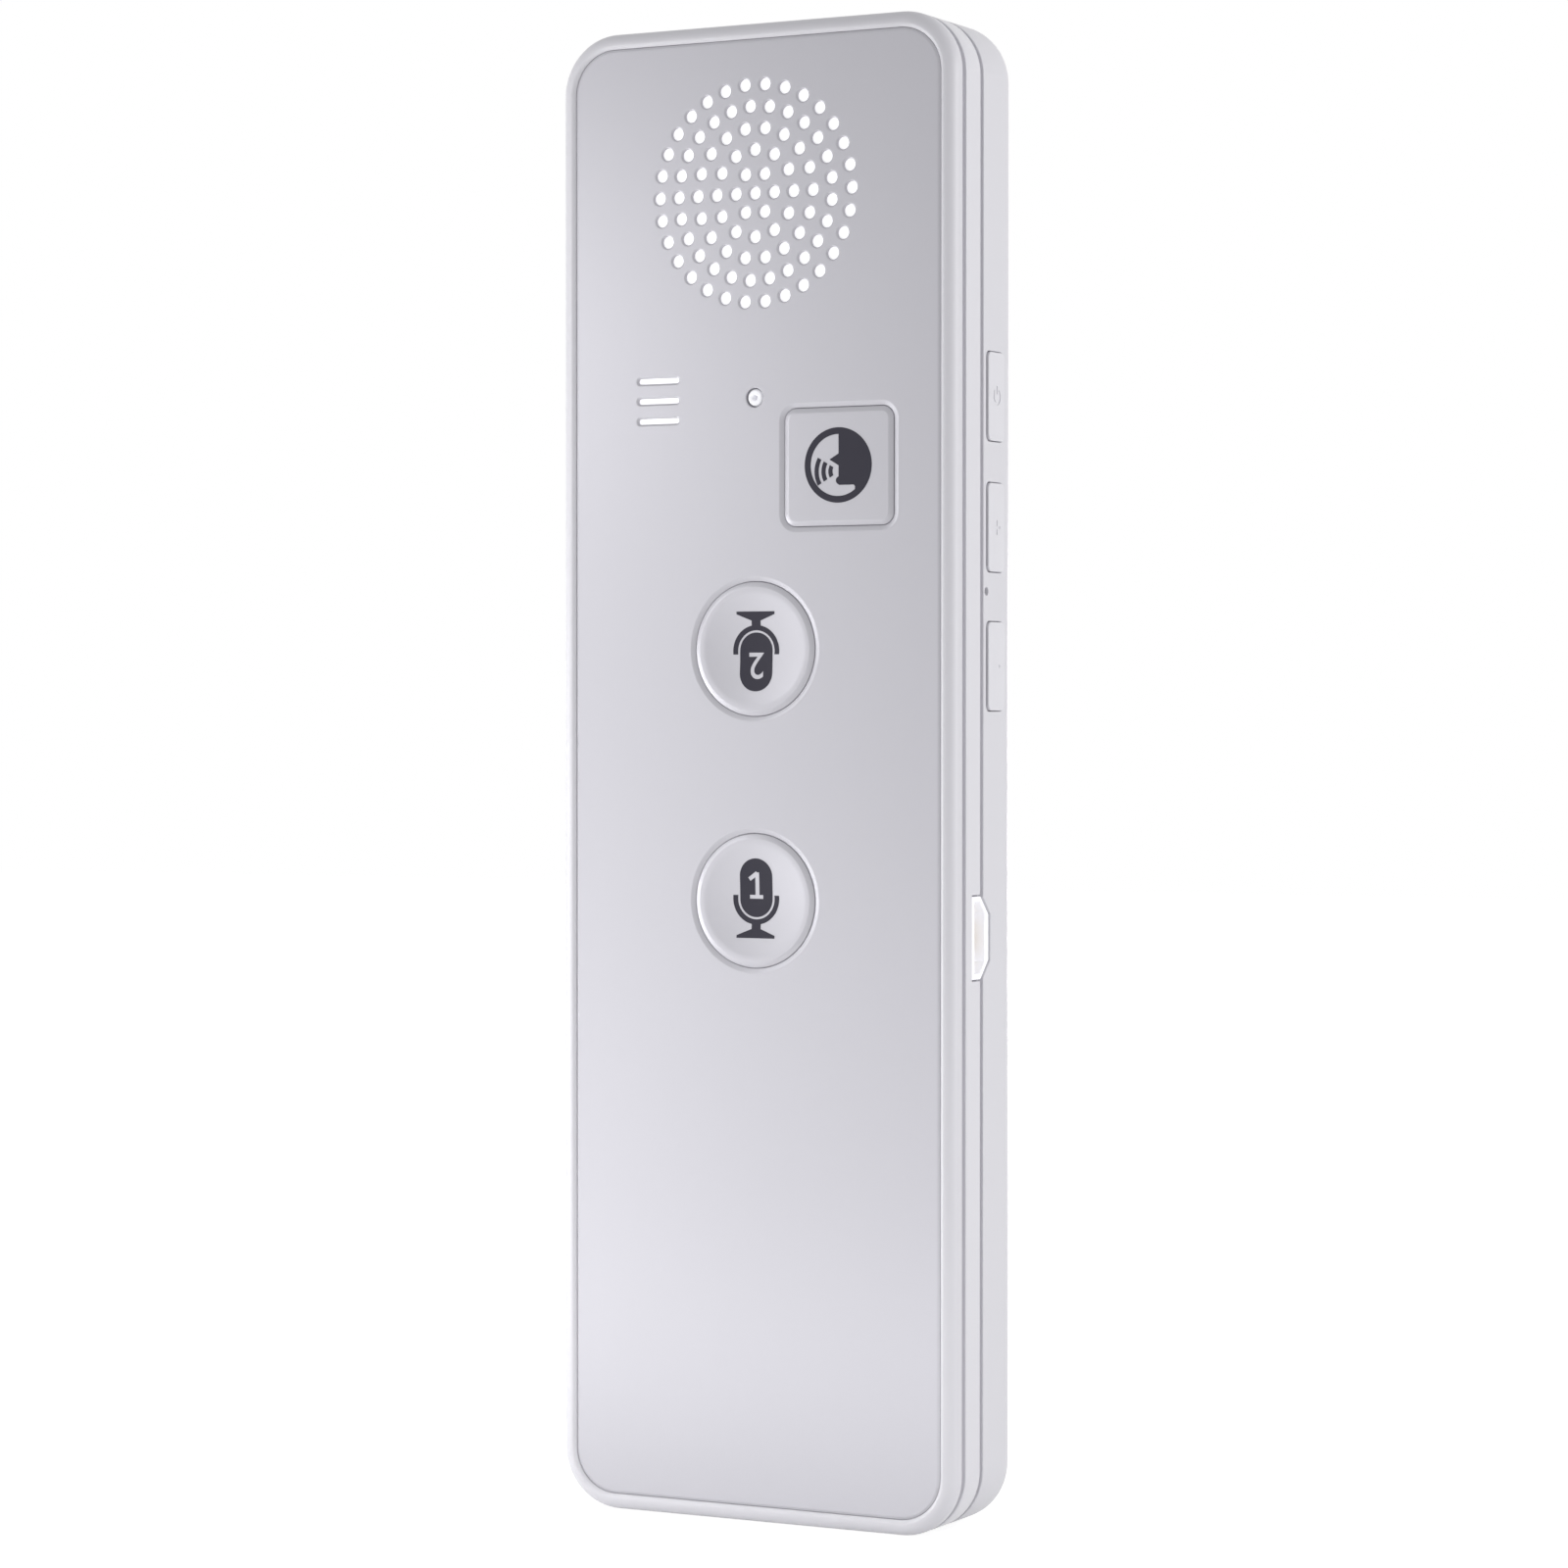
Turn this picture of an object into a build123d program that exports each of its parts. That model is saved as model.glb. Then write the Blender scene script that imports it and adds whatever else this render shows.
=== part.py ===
from build123d import *
import os
from math import cos, pi, sin

# Handheld voice translator, in millimetres. Z runs up along its length, the front faces -Y, and the origin
# is the centre of the bottom end. "Depth" is measured backwards from the front of the bezel.

# ---- outer form ----
HEIGHT = 148.0
WIDTH = 44.0
DEPTH = 14.0
CORNER_RADIUS = 6.0
FRONT_EDGE_RADIUS = 1.2
BACK_EDGE_RADIUS = 2.4
EDGE_BREAK = 0.12  # small round that softens a moulded edge
WALL = 1.6
BACK_WALL = 1.5
FIT_GAP = 0.1  # between pieces that locate in each other

# ---- layers seen on the side, as depths ----
BEZEL_END = 1.8
JOINT_ONE = 2.2  # split between bezel and middle frame, inside the first groove
BAND_START = 2.6
BAND_END = 5.8
JOINT_TWO = 6.15  # split between middle frame and back cover, inside the second groove
COVER_START = 6.5
GROOVE_DEPTH = 0.6
LIP_THICKNESS = 0.8
LIP_REACH = 2.0  # how far a locating lip runs into the next piece
INSIDE_EDGE_RADIUS = 1.2  # round at the foot of the back cover's walls
RIB_SIZE = (28.0, 1.0)  # stiffening ribs of the bezel: length and thickness
RIB_HEIGHTS = (16.0, 29.0, 42.0)

# ---- front panel ----
PANEL_MARGIN = 1.7
PANEL_FRONT = 0.2
PANEL_THICKNESS = 0.3
ADHESIVE_THICKNESS = 0.15
PANEL_BACK = PANEL_FRONT + PANEL_THICKNESS
POCKET_FLOOR = PANEL_BACK + ADHESIVE_THICKNESS
CUTOUT_MARGIN = 0.5  # the adhesive stays this far from each opening
CLOTH_MARGIN = 1.5  # the adhesive stays this far from the speaker opening, round the dust cloth
SLOT_CUTOUT = (8.4, 8.4, 1.2)  # width, height and corner radius of the adhesive's opening at the slots
SLOT_MESH = (7.6, 7.6, 1.0)  # the same for the mesh that lies in that opening
CLOTH_OVERLAP = 1.0  # how far the dust cloth reaches past the speaker opening

# ---- speaker grille: rings of round holes ----
GRILLE_Z = 131.2
GRILLE_HOLE_RADIUS = 0.55
GRILLE_RING_PITCH = 2.144
GRILLE_RINGS = (1, 6, 12, 18, 25, 30)  # holes in each ring, from the middle out
GRILLE_TURNED_RING = 4  # this ring is turned by half a hole pitch

# ---- microphone slots and status light ----
SENSOR_Z = 111.1
SLOT_X = -10.9
SLOT_LENGTH = 5.0
SLOT_WIDTH = 0.85
SLOT_PITCH = 2.0
SLOT_COUNT = 3
LED_HOLE_RADIUS = 0.95
LED_PIPE_RADIUS = 0.85
LED_PIPE_RECESS = 0.1  # behind the panel's face
LED_PIPE_ROUND = 0.3
LED_PIPE_COLLAR = (1.6, 0.6)  # radius and thickness of the collar behind the bezel
LED_SIZE = (1.6, 0.8, 0.7)
LED_GAP = 0.2  # between the light and the pipe

# ---- front keys ----
KEY_GAP = 0.07
KEY_FACE = 0.15  # depth of the key tops, a little proud of the panel
KEY_EDGE_RADIUS = 0.4
KEY_FLANGE_FRONT = 2.45
KEY_FLANGE_BACK = 3.2
KEY_FLANGE_WIDTH = 1.1
TALK_OPENING_RADIUS = 6.7
TALK_DISH_DEPTH = 0.3
TALK_KEYS = {"one": 61.5, "two": 86.35}  # heights of the two keys
SPEAK_X = 9.3
SPEAK_Z = 104.1
SPEAK_OPENING = (12.1, 11.7)
SPEAK_CORNER_RADIUS = 1.3
OPENING_CHAMFER = 0.2

# ---- side keys, on the right edge of the back cover ----
SIDE_KEYS = {"power": 111.0, "volume_up": 98.2, "volume_down": 84.6}  # heights
SIDE_KEY_DEPTH = 9.15
SIDE_KEY_SIZE = (3.5, 8.7)
SIDE_KEY_CORNER_RADIUS = 0.7
SIDE_KEY_GAP = 0.06
SIDE_KEY_FRONT_GAP = 0.3  # the window is open this far in front of each key
SIDE_KEY_PROUD = 0.15
SIDE_FLANGE_THICKNESS = 0.8
SIDE_FLANGE_OVERHANG = 0.8
SIDE_FLANGE_GAP = 0.2  # the flange rests this far inside the wall, so that the key can't fall out
RESET_Z = 91.9
RESET_DEPTH = 7.2
RESET_RADIUS = 0.4

# ---- charging port, on the right edge across the second groove ----
PORT_Z = 58.1
PORT_DEPTH = 6.05
PORT_SIZE = (4.1, 8.4)
PORT_CHAMFER = 1.9
SHELL_SIZE = (2.9, 7.5)
SHELL_CHAMFER = 1.2
SHELL_WALL = 0.25
SHELL_LENGTH = 5.0
PORT_LIP_INSET = 0.15
PORT_LIP_THICKNESS = 0.3
PORT_RECESS = 0.15  # how far the mouth lies inside the side face
TONGUE_SIZE = (0.6, 3.8)
TONGUE_DEPTH = PORT_DEPTH - 0.35
TONGUE_RECESS = 0.9  # how far the tongue ends inside the mouth
TONGUE_ROOT = 0.8
CONTACT_COUNT = 5
CONTACT_PITCH = 0.65
CONTACT_SIZE = (0.1, 0.3)
CONTACT_RECESS = 1.2

# ---- main board and what stands on it ----
BOARD_FRONT = 7.5
BOARD_THICKNESS = 0.8
BOARD_BACK = BOARD_FRONT + BOARD_THICKNESS
BOARD_HALF_WIDTH = 18.8
BOARD_BOTTOM = 50.5
BOARD_TOP = 143.5
BOARD_CORNER_RADIUS = 3.0
SWITCH_SIZE = 6.0
SWITCH_BODY_HEIGHT = 3.5
PLUNGER_RADIUS = 1.7
PLUNGER_LENGTH = 1.5
PLUNGER_CLEARANCE = 0.6  # free travel behind a plunger at rest
SIDE_SWITCH_SIZE = (3.3, 1.7, 4.7)
SIDE_PLUNGER_SIZE = (1.0, 2.4)
SIDE_PLUNGER_LENGTH = 1.6
SIDE_PLUNGER_CLEARANCE = 0.7
RESET_SWITCH_X = 16.6
RESET_SWITCH_SIZE = (3.0, 2.6, 1.3)

SHIELD_PLACE = (-3.0, 118.0)
SHIELD_SIZE = (24.0, 26.0, 2.1)
SHIELD_WALL = 0.2
SHIELD_CORNER_RADIUS = 1.0
CAPACITOR_GRID = (2, 5)  # rows and columns
CAPACITOR_START = (-10.0, 78.0)
CAPACITOR_PITCH = (2.2, 3.0)
CAPACITOR_SIZE = (1.0, 1.8, 0.9)

# ---- fixings ----
BOSS_RADIUS = 2.1
BOSS_SHOULDER_RADIUS = 3.0
BOSS_SPLIT = 3.4  # the bezel's bosses meet the back cover's at this depth
BOSS_X = 17.0
BOSS_HEIGHTS = (6.2, 74.0, 141.8)
SCREW_RADIUS = 0.8
SCREW_END = 9.0
SCREW_HEAD_RADIUS = 1.45
SCREW_HEAD_HEIGHT = 0.75
SCREW_SEAT = POCKET_FLOOR + 0.8
POST_RADIUS = 1.6
POST_PLACES = ((-15.0, 53.8), (9.5, 53.8))
BOARD_SCREW_RADIUS = 0.6
BOARD_SCREW_HEAD_HEIGHT = 0.6
POST_HOLE_END = BOARD_BACK + 2.5

# ---- speaker, microphone and battery ----
SPEAKER_OPENING_RADIUS = 11.4
SPEAKER_RADIUS = 13.0
GASKET_BACK = 2.8
BASKET_BACK = 5.4
BASKET_STEP = 0.7  # depth of the seat that carries the rim of the cone
BASKET_FLOOR = 0.5
BASKET_WALL = 0.8
BASKET_CUP_RADIUS = 9.0
COIL_RADIUS = 5.0
COIL_WALL = 0.4
COIL_CLEARANCE = 0.3  # between the coil and the floor of the basket
CONE_THICKNESS = 0.15
CONE_FOLD_OUTER = 8.6  # the raised fold runs from here ...
CONE_FOLD_RADIUS = 6.8  # ... over its crest, down to the coil
CONE_FOLD_HEIGHT = 0.5
CONE_CAP_HEIGHT = 0.45
MAGNET_BACK = 7.1
MAGNET_RADIUS = 6.8
BOOT_RADIUS = 3.7
BOOT_COLLAR = 0.7  # wall of the bezel's collar round the boot
BOOT_FLOOR = 0.5
BOOT_HOLE_RADIUS = 2.0
CAPSULE_RADIUS = 3.0
CAPSULE_BACK = 5.2
CAPSULE_LEAD_RADIUS = 0.25
CAPSULE_LEAD_OFFSET = 1.3
BATTERY_SIZE = (34.0, 40.0, 6.0)
BATTERY_BOTTOM = 9.0
BATTERY_MIDDLE = BATTERY_BOTTOM + BATTERY_SIZE[1] / 2
TAPE_THICKNESS = 0.3
PAD_THICKNESS = 0.8
CELL_EDGE_RADIUS = 1.2
LEAD_RADIUS = 0.5
LEAD_PLACES = (-5.0, -3.4)
LEAD_DEPTH = BOARD_BACK + 1.5
PLUG_BOTTOM = 53.0

INSIDE_BACK = DEPTH - BACK_WALL
RIGHT_FACE = WIDTH / 2
INSIDE_RIGHT = RIGHT_FACE - WALL
BATTERY_BACK = INSIDE_BACK - TAPE_THICKNESS
BATTERY_FRONT = BATTERY_BACK - BATTERY_SIZE[2]
SWITCH_FRONT = BOARD_FRONT - SWITCH_BODY_HEIGHT
PORT_MOUTH = RIGHT_FACE - PORT_RECESS


# ---- drawing helpers ----
def slab(profile, front, back):
    """Extrude a profile drawn as seen from the front, between two depths."""
    plane = Plane(origin=(0, back - DEPTH / 2, 0), x_dir=(1, 0, 0), z_dir=(0, -1, 0))
    return extrude(plane * profile, amount=back - front)


def side_slab(profile, inner, outer):
    """Extrude a profile drawn on the right side (depth, height), between two X positions."""
    plane = Plane(origin=(inner, -DEPTH / 2, 0), x_dir=(0, 1, 0), z_dir=(1, 0, 0))
    return extrude(plane * profile, amount=outer - inner)


def turned(profile, x, z):
    """Revolve a profile of (radius, depth) about a front-to-back axis at x, z."""
    return Pos(x, -DEPTH / 2, z) * revolve(profile, Axis.Y)


def outline(inset=0.0):
    """The rounded front outline, moved inwards by an inset."""
    shape = RectangleRounded(WIDTH - 2 * inset, HEIGHT - 2 * inset, CORNER_RADIUS - inset)
    return Pos(0, HEIGHT / 2) * shape


def frame_ring(outer_inset, inner_inset, front, back):
    return slab(outline(outer_inset), front, back) - slab(outline(inner_inset), front, back)


def front_edges(solid):
    return solid.faces().sort_by(Axis.Y)[0].outer_wire().edges()


def back_edges(solid):
    return solid.faces().sort_by(Axis.Y)[-1].outer_wire().edges()


def disc(x, z, radius):
    return Pos(x, z) * Circle(radius)


def block(x, z, width, height, front, back, radius=0.0):
    """A block on the board or in the case, given by its centre, size and two depths."""
    shape = RectangleRounded(width, height, radius) if radius else Rectangle(width, height)
    return slab(Pos(x, z) * shape, front, back)


# ---- openings in the front ----
def grille_centres():
    for ring, count in enumerate(GRILLE_RINGS):
        turn = pi / count if ring == GRILLE_TURNED_RING else 0.0
        for hole in range(count):
            angle = 2 * pi * hole / count + turn
            reach = ring * GRILLE_RING_PITCH
            yield reach * cos(angle), GRILLE_Z + reach * sin(angle)


def slot_profiles():
    for row in range(SLOT_COUNT):
        z = SENSOR_Z + (row - (SLOT_COUNT - 1) / 2) * SLOT_PITCH
        yield Pos(SLOT_X, z) * SlotOverall(SLOT_LENGTH, SLOT_WIDTH)


def key_opening_profiles(grow=0.0):
    """The two round openings and the square one, moved outwards by grow."""
    profiles = [disc(0, z, TALK_OPENING_RADIUS + grow) for z in TALK_KEYS.values()]
    width, height = (size + 2 * grow for size in SPEAK_OPENING)
    square = RectangleRounded(width, height, SPEAK_CORNER_RADIUS + grow)
    return profiles + [Pos(SPEAK_X, SPEAK_Z) * square]


def port_profile(size, chamfer_length):
    """Port outline on the right side: its two back corners are cut off."""
    shape = Rectangle(*size)
    shape = chamfer(shape.vertices().group_by(Axis.X)[-1], chamfer_length)
    return Pos(PORT_DEPTH, PORT_Z) * shape


def port_cut():
    return side_slab(port_profile(PORT_SIZE, PORT_CHAMFER), INSIDE_RIGHT - LIP_THICKNESS - 1, RIGHT_FACE + 1)


# ---- case ----
def make_front_panel():
    sheet = outline(PANEL_MARGIN)
    sheet -= [disc(x, z, GRILLE_HOLE_RADIUS) for x, z in grille_centres()]
    sheet -= list(slot_profiles())
    sheet -= disc(0, SENSOR_Z, LED_HOLE_RADIUS)
    panel = slab(sheet, PANEL_FRONT, PANEL_BACK)
    for profile in key_opening_profiles():
        opening = slab(profile, PANEL_FRONT, PANEL_BACK)
        panel -= opening + chamfer_ring(profile)
    return panel


def chamfer_ring(profile):
    """The extra cut that bevels the front edge of a key opening."""
    plane = Plane(origin=(0, PANEL_FRONT + OPENING_CHAMFER - DEPTH / 2, 0), x_dir=(1, 0, 0), z_dir=(0, -1, 0))
    return extrude(plane * profile, amount=OPENING_CHAMFER, taper=-45)


def make_panel_adhesive():
    sheet = outline(PANEL_MARGIN + CUTOUT_MARGIN)
    sheet -= disc(0, GRILLE_Z, SPEAKER_OPENING_RADIUS + CLOTH_MARGIN)
    sheet -= Pos(SLOT_X, SENSOR_Z) * RectangleRounded(*SLOT_CUTOUT)
    sheet -= disc(0, SENSOR_Z, LED_HOLE_RADIUS + CUTOUT_MARGIN)
    sheet -= key_opening_profiles(CUTOUT_MARGIN)
    return slab(sheet, PANEL_BACK, POCKET_FLOOR)


def make_front_bezel():
    rim = slab(outline(), 0, BEZEL_END)
    rim = fillet(front_edges(rim), FRONT_EDGE_RADIUS)
    rim = fillet(back_edges(rim), EDGE_BREAK)
    bezel = rim + slab(outline(GROOVE_DEPTH), BEZEL_END, JOINT_ONE)
    bezel -= slab(outline(PANEL_MARGIN - FIT_GAP), 0, POCKET_FLOOR)
    lip_inset = WALL + FIT_GAP
    bezel += frame_ring(lip_inset, lip_inset + LIP_THICKNESS, JOINT_ONE, JOINT_ONE + LIP_REACH)
    bezel += slab(disc(SLOT_X, SENSOR_Z, BOOT_RADIUS + BOOT_COLLAR), JOINT_ONE, JOINT_ONE + LIP_REACH)
    bezel -= slab(disc(SLOT_X, SENSOR_Z, BOOT_RADIUS), JOINT_ONE, JOINT_ONE + LIP_REACH)
    bezel += stiffening_ribs()
    floor_cuts = key_opening_profiles() + [disc(0, GRILLE_Z, SPEAKER_OPENING_RADIUS)]
    floor_cuts += [disc(SLOT_X, SENSOR_Z, CAPSULE_RADIUS), disc(0, SENSOR_Z, LED_HOLE_RADIUS)]
    for profile in floor_cuts:
        bezel -= slab(profile, POCKET_FLOOR, JOINT_ONE)
    for x, z in boss_places():
        bezel += slab(disc(x, z, BOSS_RADIUS), JOINT_ONE, BOSS_SPLIT)
        bezel -= slab(disc(x, z, SCREW_HEAD_RADIUS + FIT_GAP), POCKET_FLOOR, SCREW_SEAT)
        bezel -= slab(disc(x, z, SCREW_RADIUS + FIT_GAP), SCREW_SEAT, BOSS_SPLIT)
    return bezel


def stiffening_ribs():
    """Three ribs behind the plain lower part of the bezel, which press on the battery pad."""
    rib_end = BATTERY_FRONT - PAD_THICKNESS
    ribs = [block(0, z, *RIB_SIZE, JOINT_ONE, rib_end) for z in RIB_HEIGHTS]
    return ribs[0] + ribs[1:]


def make_mid_frame():
    band = slab(outline(), BAND_START, BAND_END)
    band = fillet(front_edges(band) + back_edges(band), EDGE_BREAK)
    frame = band + slab(outline(GROOVE_DEPTH), JOINT_ONE, JOINT_TWO)
    frame -= slab(outline(WALL), JOINT_ONE, JOINT_TWO)
    return frame - port_cut()


def make_back_cover():
    tub = slab(outline(), COVER_START, DEPTH)
    tub = fillet(back_edges(tub), BACK_EDGE_RADIUS)
    tub = fillet(front_edges(tub), EDGE_BREAK)
    tub += slab(outline(GROOVE_DEPTH), JOINT_TWO, COVER_START)
    hollow = slab(outline(WALL), JOINT_TWO, INSIDE_BACK)
    tub -= fillet(back_edges(hollow), INSIDE_EDGE_RADIUS)
    tub += cover_lip()
    tub += [slab(disc(x, z, BOSS_RADIUS), BOSS_SPLIT, INSIDE_BACK) for x, z in boss_places()]
    shoulders = [slab(disc(x, z, BOSS_SHOULDER_RADIUS), BOARD_BACK, INSIDE_BACK)
                 for x, z in boss_places() if z > BOARD_BOTTOM]
    tub += shoulders + [slab(disc(x, z, POST_RADIUS), BOARD_BACK, INSIDE_BACK) for x, z in POST_PLACES]
    tub -= [slab(disc(x, z, SCREW_RADIUS), BOSS_SPLIT, SCREW_END) for x, z in boss_places()]
    tub -= [slab(disc(x, z, BOARD_SCREW_RADIUS), BOARD_BACK, POST_HOLE_END) for x, z in POST_PLACES]
    tub -= [side_key_window(z) for z in SIDE_KEYS.values()]
    tub -= side_slab(disc(RESET_DEPTH, RESET_Z, RESET_RADIUS), INSIDE_RIGHT - 1, RIGHT_FACE + 1)
    return tub - port_cut()


def side_key_window(z):
    """The cut for a side key, which leaves a wider gap in front of the key than round the rest of it."""
    width = SIDE_KEY_SIZE[0] + SIDE_KEY_FRONT_GAP + SIDE_KEY_GAP
    height = SIDE_KEY_SIZE[1] + 2 * SIDE_KEY_GAP
    centre = SIDE_KEY_DEPTH - (SIDE_KEY_FRONT_GAP - SIDE_KEY_GAP) / 2
    window = Pos(centre, z) * RectangleRounded(width, height, SIDE_KEY_CORNER_RADIUS)
    return side_slab(window, INSIDE_RIGHT - 1, RIGHT_FACE + 1)


def cover_lip():
    """The lip that stands up from the back cover and locates the middle frame."""
    inner = WALL + FIT_GAP + LIP_THICKNESS
    root = frame_ring(WALL - FIT_GAP, inner, JOINT_TWO, JOINT_TWO + LIP_THICKNESS)
    reach = frame_ring(WALL + FIT_GAP, inner, JOINT_TWO - LIP_REACH + FIT_GAP, JOINT_TWO)
    return root + reach


def boss_places():
    return [(side * BOSS_X, z) for z in BOSS_HEIGHTS for side in (-1, 1)]


def make_case_screws():
    screws = []
    for x, z in boss_places():
        head = slab(disc(x, z, SCREW_HEAD_RADIUS), SCREW_SEAT - SCREW_HEAD_HEIGHT, SCREW_SEAT)
        screws.append(head + slab(disc(x, z, SCREW_RADIUS), SCREW_SEAT, SCREW_END))
    return Compound(children=screws)


def make_board_screws():
    screws = []
    for x, z in POST_PLACES:
        head_front = BOARD_FRONT - BOARD_SCREW_HEAD_HEIGHT
        head = slab(disc(x, z, 2 * BOARD_SCREW_RADIUS), head_front, BOARD_FRONT)
        screws.append(head + slab(disc(x, z, BOARD_SCREW_RADIUS), BOARD_FRONT, POST_HOLE_END))
    return Compound(children=screws)


# ---- keys ----
def make_talk_key(z):
    """Round key: a dished cap on a wider flange that stops behind the bezel floor."""
    radius = TALK_OPENING_RADIUS - KEY_GAP
    flange = radius + KEY_FLANGE_WIDTH
    rim = radius - 2 * KEY_EDGE_RADIUS
    corner = (radius, KEY_FACE)
    edges = Polyline((rim, KEY_FACE), corner, (radius, KEY_FLANGE_FRONT), (flange, KEY_FLANGE_FRONT),
                     (flange, KEY_FLANGE_BACK), (0, KEY_FLANGE_BACK), (0, KEY_FACE + TALK_DISH_DEPTH))
    sag = TALK_DISH_DEPTH
    dish = RadiusArc((0, KEY_FACE + sag), (rim, KEY_FACE), (rim ** 2 + sag ** 2) / (2 * sag))
    profile = make_face(edges.edges() + dish.edges())
    outer_corner = profile.vertices().sort_by_distance(corner)[0]
    return turned(fillet(outer_corner, KEY_EDGE_RADIUS), 0, z)


def make_speak_key():
    """Square key with a flat face, on the same kind of flange as the round ones."""
    width, height = (size - 2 * KEY_GAP for size in SPEAK_OPENING)
    corner = SPEAK_CORNER_RADIUS - KEY_GAP
    cap = block(SPEAK_X, SPEAK_Z, width, height, KEY_FACE, KEY_FLANGE_FRONT, corner)
    cap = fillet(front_edges(cap), KEY_EDGE_RADIUS)
    flange = RectangleRounded(width + 2 * KEY_FLANGE_WIDTH, height + 2 * KEY_FLANGE_WIDTH, corner)
    return cap + slab(Pos(SPEAK_X, SPEAK_Z) * flange, KEY_FLANGE_FRONT, KEY_FLANGE_BACK)


def make_side_key(z):
    width, height = SIDE_KEY_SIZE
    inner, outer = INSIDE_RIGHT - SIDE_FLANGE_GAP, RIGHT_FACE + SIDE_KEY_PROUD
    face = RectangleRounded(width, height, SIDE_KEY_CORNER_RADIUS - SIDE_KEY_GAP)
    cap = side_slab(Pos(SIDE_KEY_DEPTH, z) * face, inner - SIDE_FLANGE_THICKNESS / 2, outer)
    cap = fillet(cap.faces().sort_by(Axis.X)[-1].outer_wire().edges(), SIDE_KEY_PROUD)
    flange = Pos(SIDE_KEY_DEPTH, z) * Rectangle(width, height + 2 * SIDE_FLANGE_OVERHANG)
    return cap + side_slab(flange, inner - SIDE_FLANGE_THICKNESS, inner)


def side_plunger_tip():
    return INSIDE_RIGHT - SIDE_FLANGE_GAP - SIDE_FLANGE_THICKNESS


# ---- switches ----
def make_switch(x, z):
    """Square tactile switch body with a blind bore for its plunger."""
    body = block(x, z, SWITCH_SIZE, SWITCH_SIZE, SWITCH_FRONT, BOARD_FRONT)
    bore_back = KEY_FLANGE_BACK + PLUNGER_LENGTH + PLUNGER_CLEARANCE
    return body - slab(disc(x, z, PLUNGER_RADIUS + FIT_GAP), SWITCH_FRONT, bore_back)


def make_plunger(x, z):
    return slab(disc(x, z, PLUNGER_RADIUS), KEY_FLANGE_BACK, KEY_FLANGE_BACK + PLUNGER_LENGTH)


def make_side_switch(z):
    """Edge tactile switch on the back of the board, with a blind bore for its plunger."""
    length, thickness, height = SIDE_SWITCH_SIZE
    outer = side_plunger_tip() - SIDE_PLUNGER_CLEARANCE
    depth = BOARD_BACK + thickness / 2
    body = side_slab(Pos(depth, z) * Rectangle(thickness, height), outer - length, outer)
    width, span = (size + 2 * FIT_GAP for size in SIDE_PLUNGER_SIZE)
    bore = side_slab(Pos(depth, z) * Rectangle(width, span), outer - SIDE_PLUNGER_LENGTH, outer)
    return body - bore


def make_side_plunger(z):
    depth = BOARD_BACK + SIDE_SWITCH_SIZE[1] / 2
    tip = side_plunger_tip()
    return side_slab(Pos(depth, z) * Rectangle(*SIDE_PLUNGER_SIZE), tip - SIDE_PLUNGER_LENGTH, tip)


def make_reset_switch():
    """Small switch on the front of the board, facing the pinhole."""
    width, height, thickness = RESET_SWITCH_SIZE
    return block(RESET_SWITCH_X, RESET_Z, width, height, BOARD_FRONT - thickness, BOARD_FRONT)


# ---- speaker, microphone and light ----
def make_speaker_dust_cloth():
    """Fine cloth glued to the back of the panel, behind the grille holes."""
    return slab(disc(0, GRILLE_Z, SPEAKER_OPENING_RADIUS + CLOTH_OVERLAP), PANEL_BACK, POCKET_FLOOR)


def make_speaker_gasket():
    ring = disc(0, GRILLE_Z, SPEAKER_RADIUS) - disc(0, GRILLE_Z, SPEAKER_OPENING_RADIUS)
    return slab(ring, JOINT_ONE, GASKET_BACK)


def make_speaker_basket():
    """Round pressed frame: a wide front ring that steps down to the magnet cup."""
    ring_back = GASKET_BACK + BASKET_STEP + BASKET_FLOOR
    basket = slab(disc(0, GRILLE_Z, SPEAKER_RADIUS), GASKET_BACK, ring_back)
    basket += slab(disc(0, GRILLE_Z, BASKET_CUP_RADIUS), ring_back, BASKET_BACK)
    basket -= slab(disc(0, GRILLE_Z, SPEAKER_OPENING_RADIUS), GASKET_BACK, GASKET_BACK + BASKET_STEP)
    cup_inside = disc(0, GRILLE_Z, BASKET_CUP_RADIUS - BASKET_WALL)
    return basket - slab(cup_inside, GASKET_BACK, BASKET_BACK - BASKET_FLOOR)


def make_speaker_cone():
    """Thin diaphragm: a flat rim, a raised fold and a shallow cap over the voice coil."""
    seat = GASKET_BACK + BASKET_STEP
    back = [(SPEAKER_OPENING_RADIUS - FIT_GAP, seat), (CONE_FOLD_OUTER, seat),
            (CONE_FOLD_RADIUS, seat - CONE_FOLD_HEIGHT), (COIL_RADIUS, seat), (0, seat - CONE_CAP_HEIGHT)]
    front = [(radius, depth - CONE_THICKNESS) for radius, depth in reversed(back)]
    return turned(make_face(Polyline(*back, *front, close=True)), 0, GRILLE_Z)


def make_voice_coil():
    tube = disc(0, GRILLE_Z, COIL_RADIUS) - disc(0, GRILLE_Z, COIL_RADIUS - COIL_WALL)
    return slab(tube, GASKET_BACK + BASKET_STEP, BASKET_BACK - BASKET_FLOOR - COIL_CLEARANCE)


def make_speaker_magnet():
    return slab(disc(0, GRILLE_Z, MAGNET_RADIUS), BASKET_BACK, MAGNET_BACK)


def make_microphone_boot():
    """Rubber cup that seals the capsule behind the slots."""
    boot = slab(disc(SLOT_X, SENSOR_Z, BOOT_RADIUS), JOINT_ONE, CAPSULE_BACK)
    boot -= slab(disc(SLOT_X, SENSOR_Z, CAPSULE_RADIUS), JOINT_ONE + BOOT_FLOOR, CAPSULE_BACK)
    return boot - slab(disc(SLOT_X, SENSOR_Z, BOOT_HOLE_RADIUS), JOINT_ONE, JOINT_ONE + BOOT_FLOOR)


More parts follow.
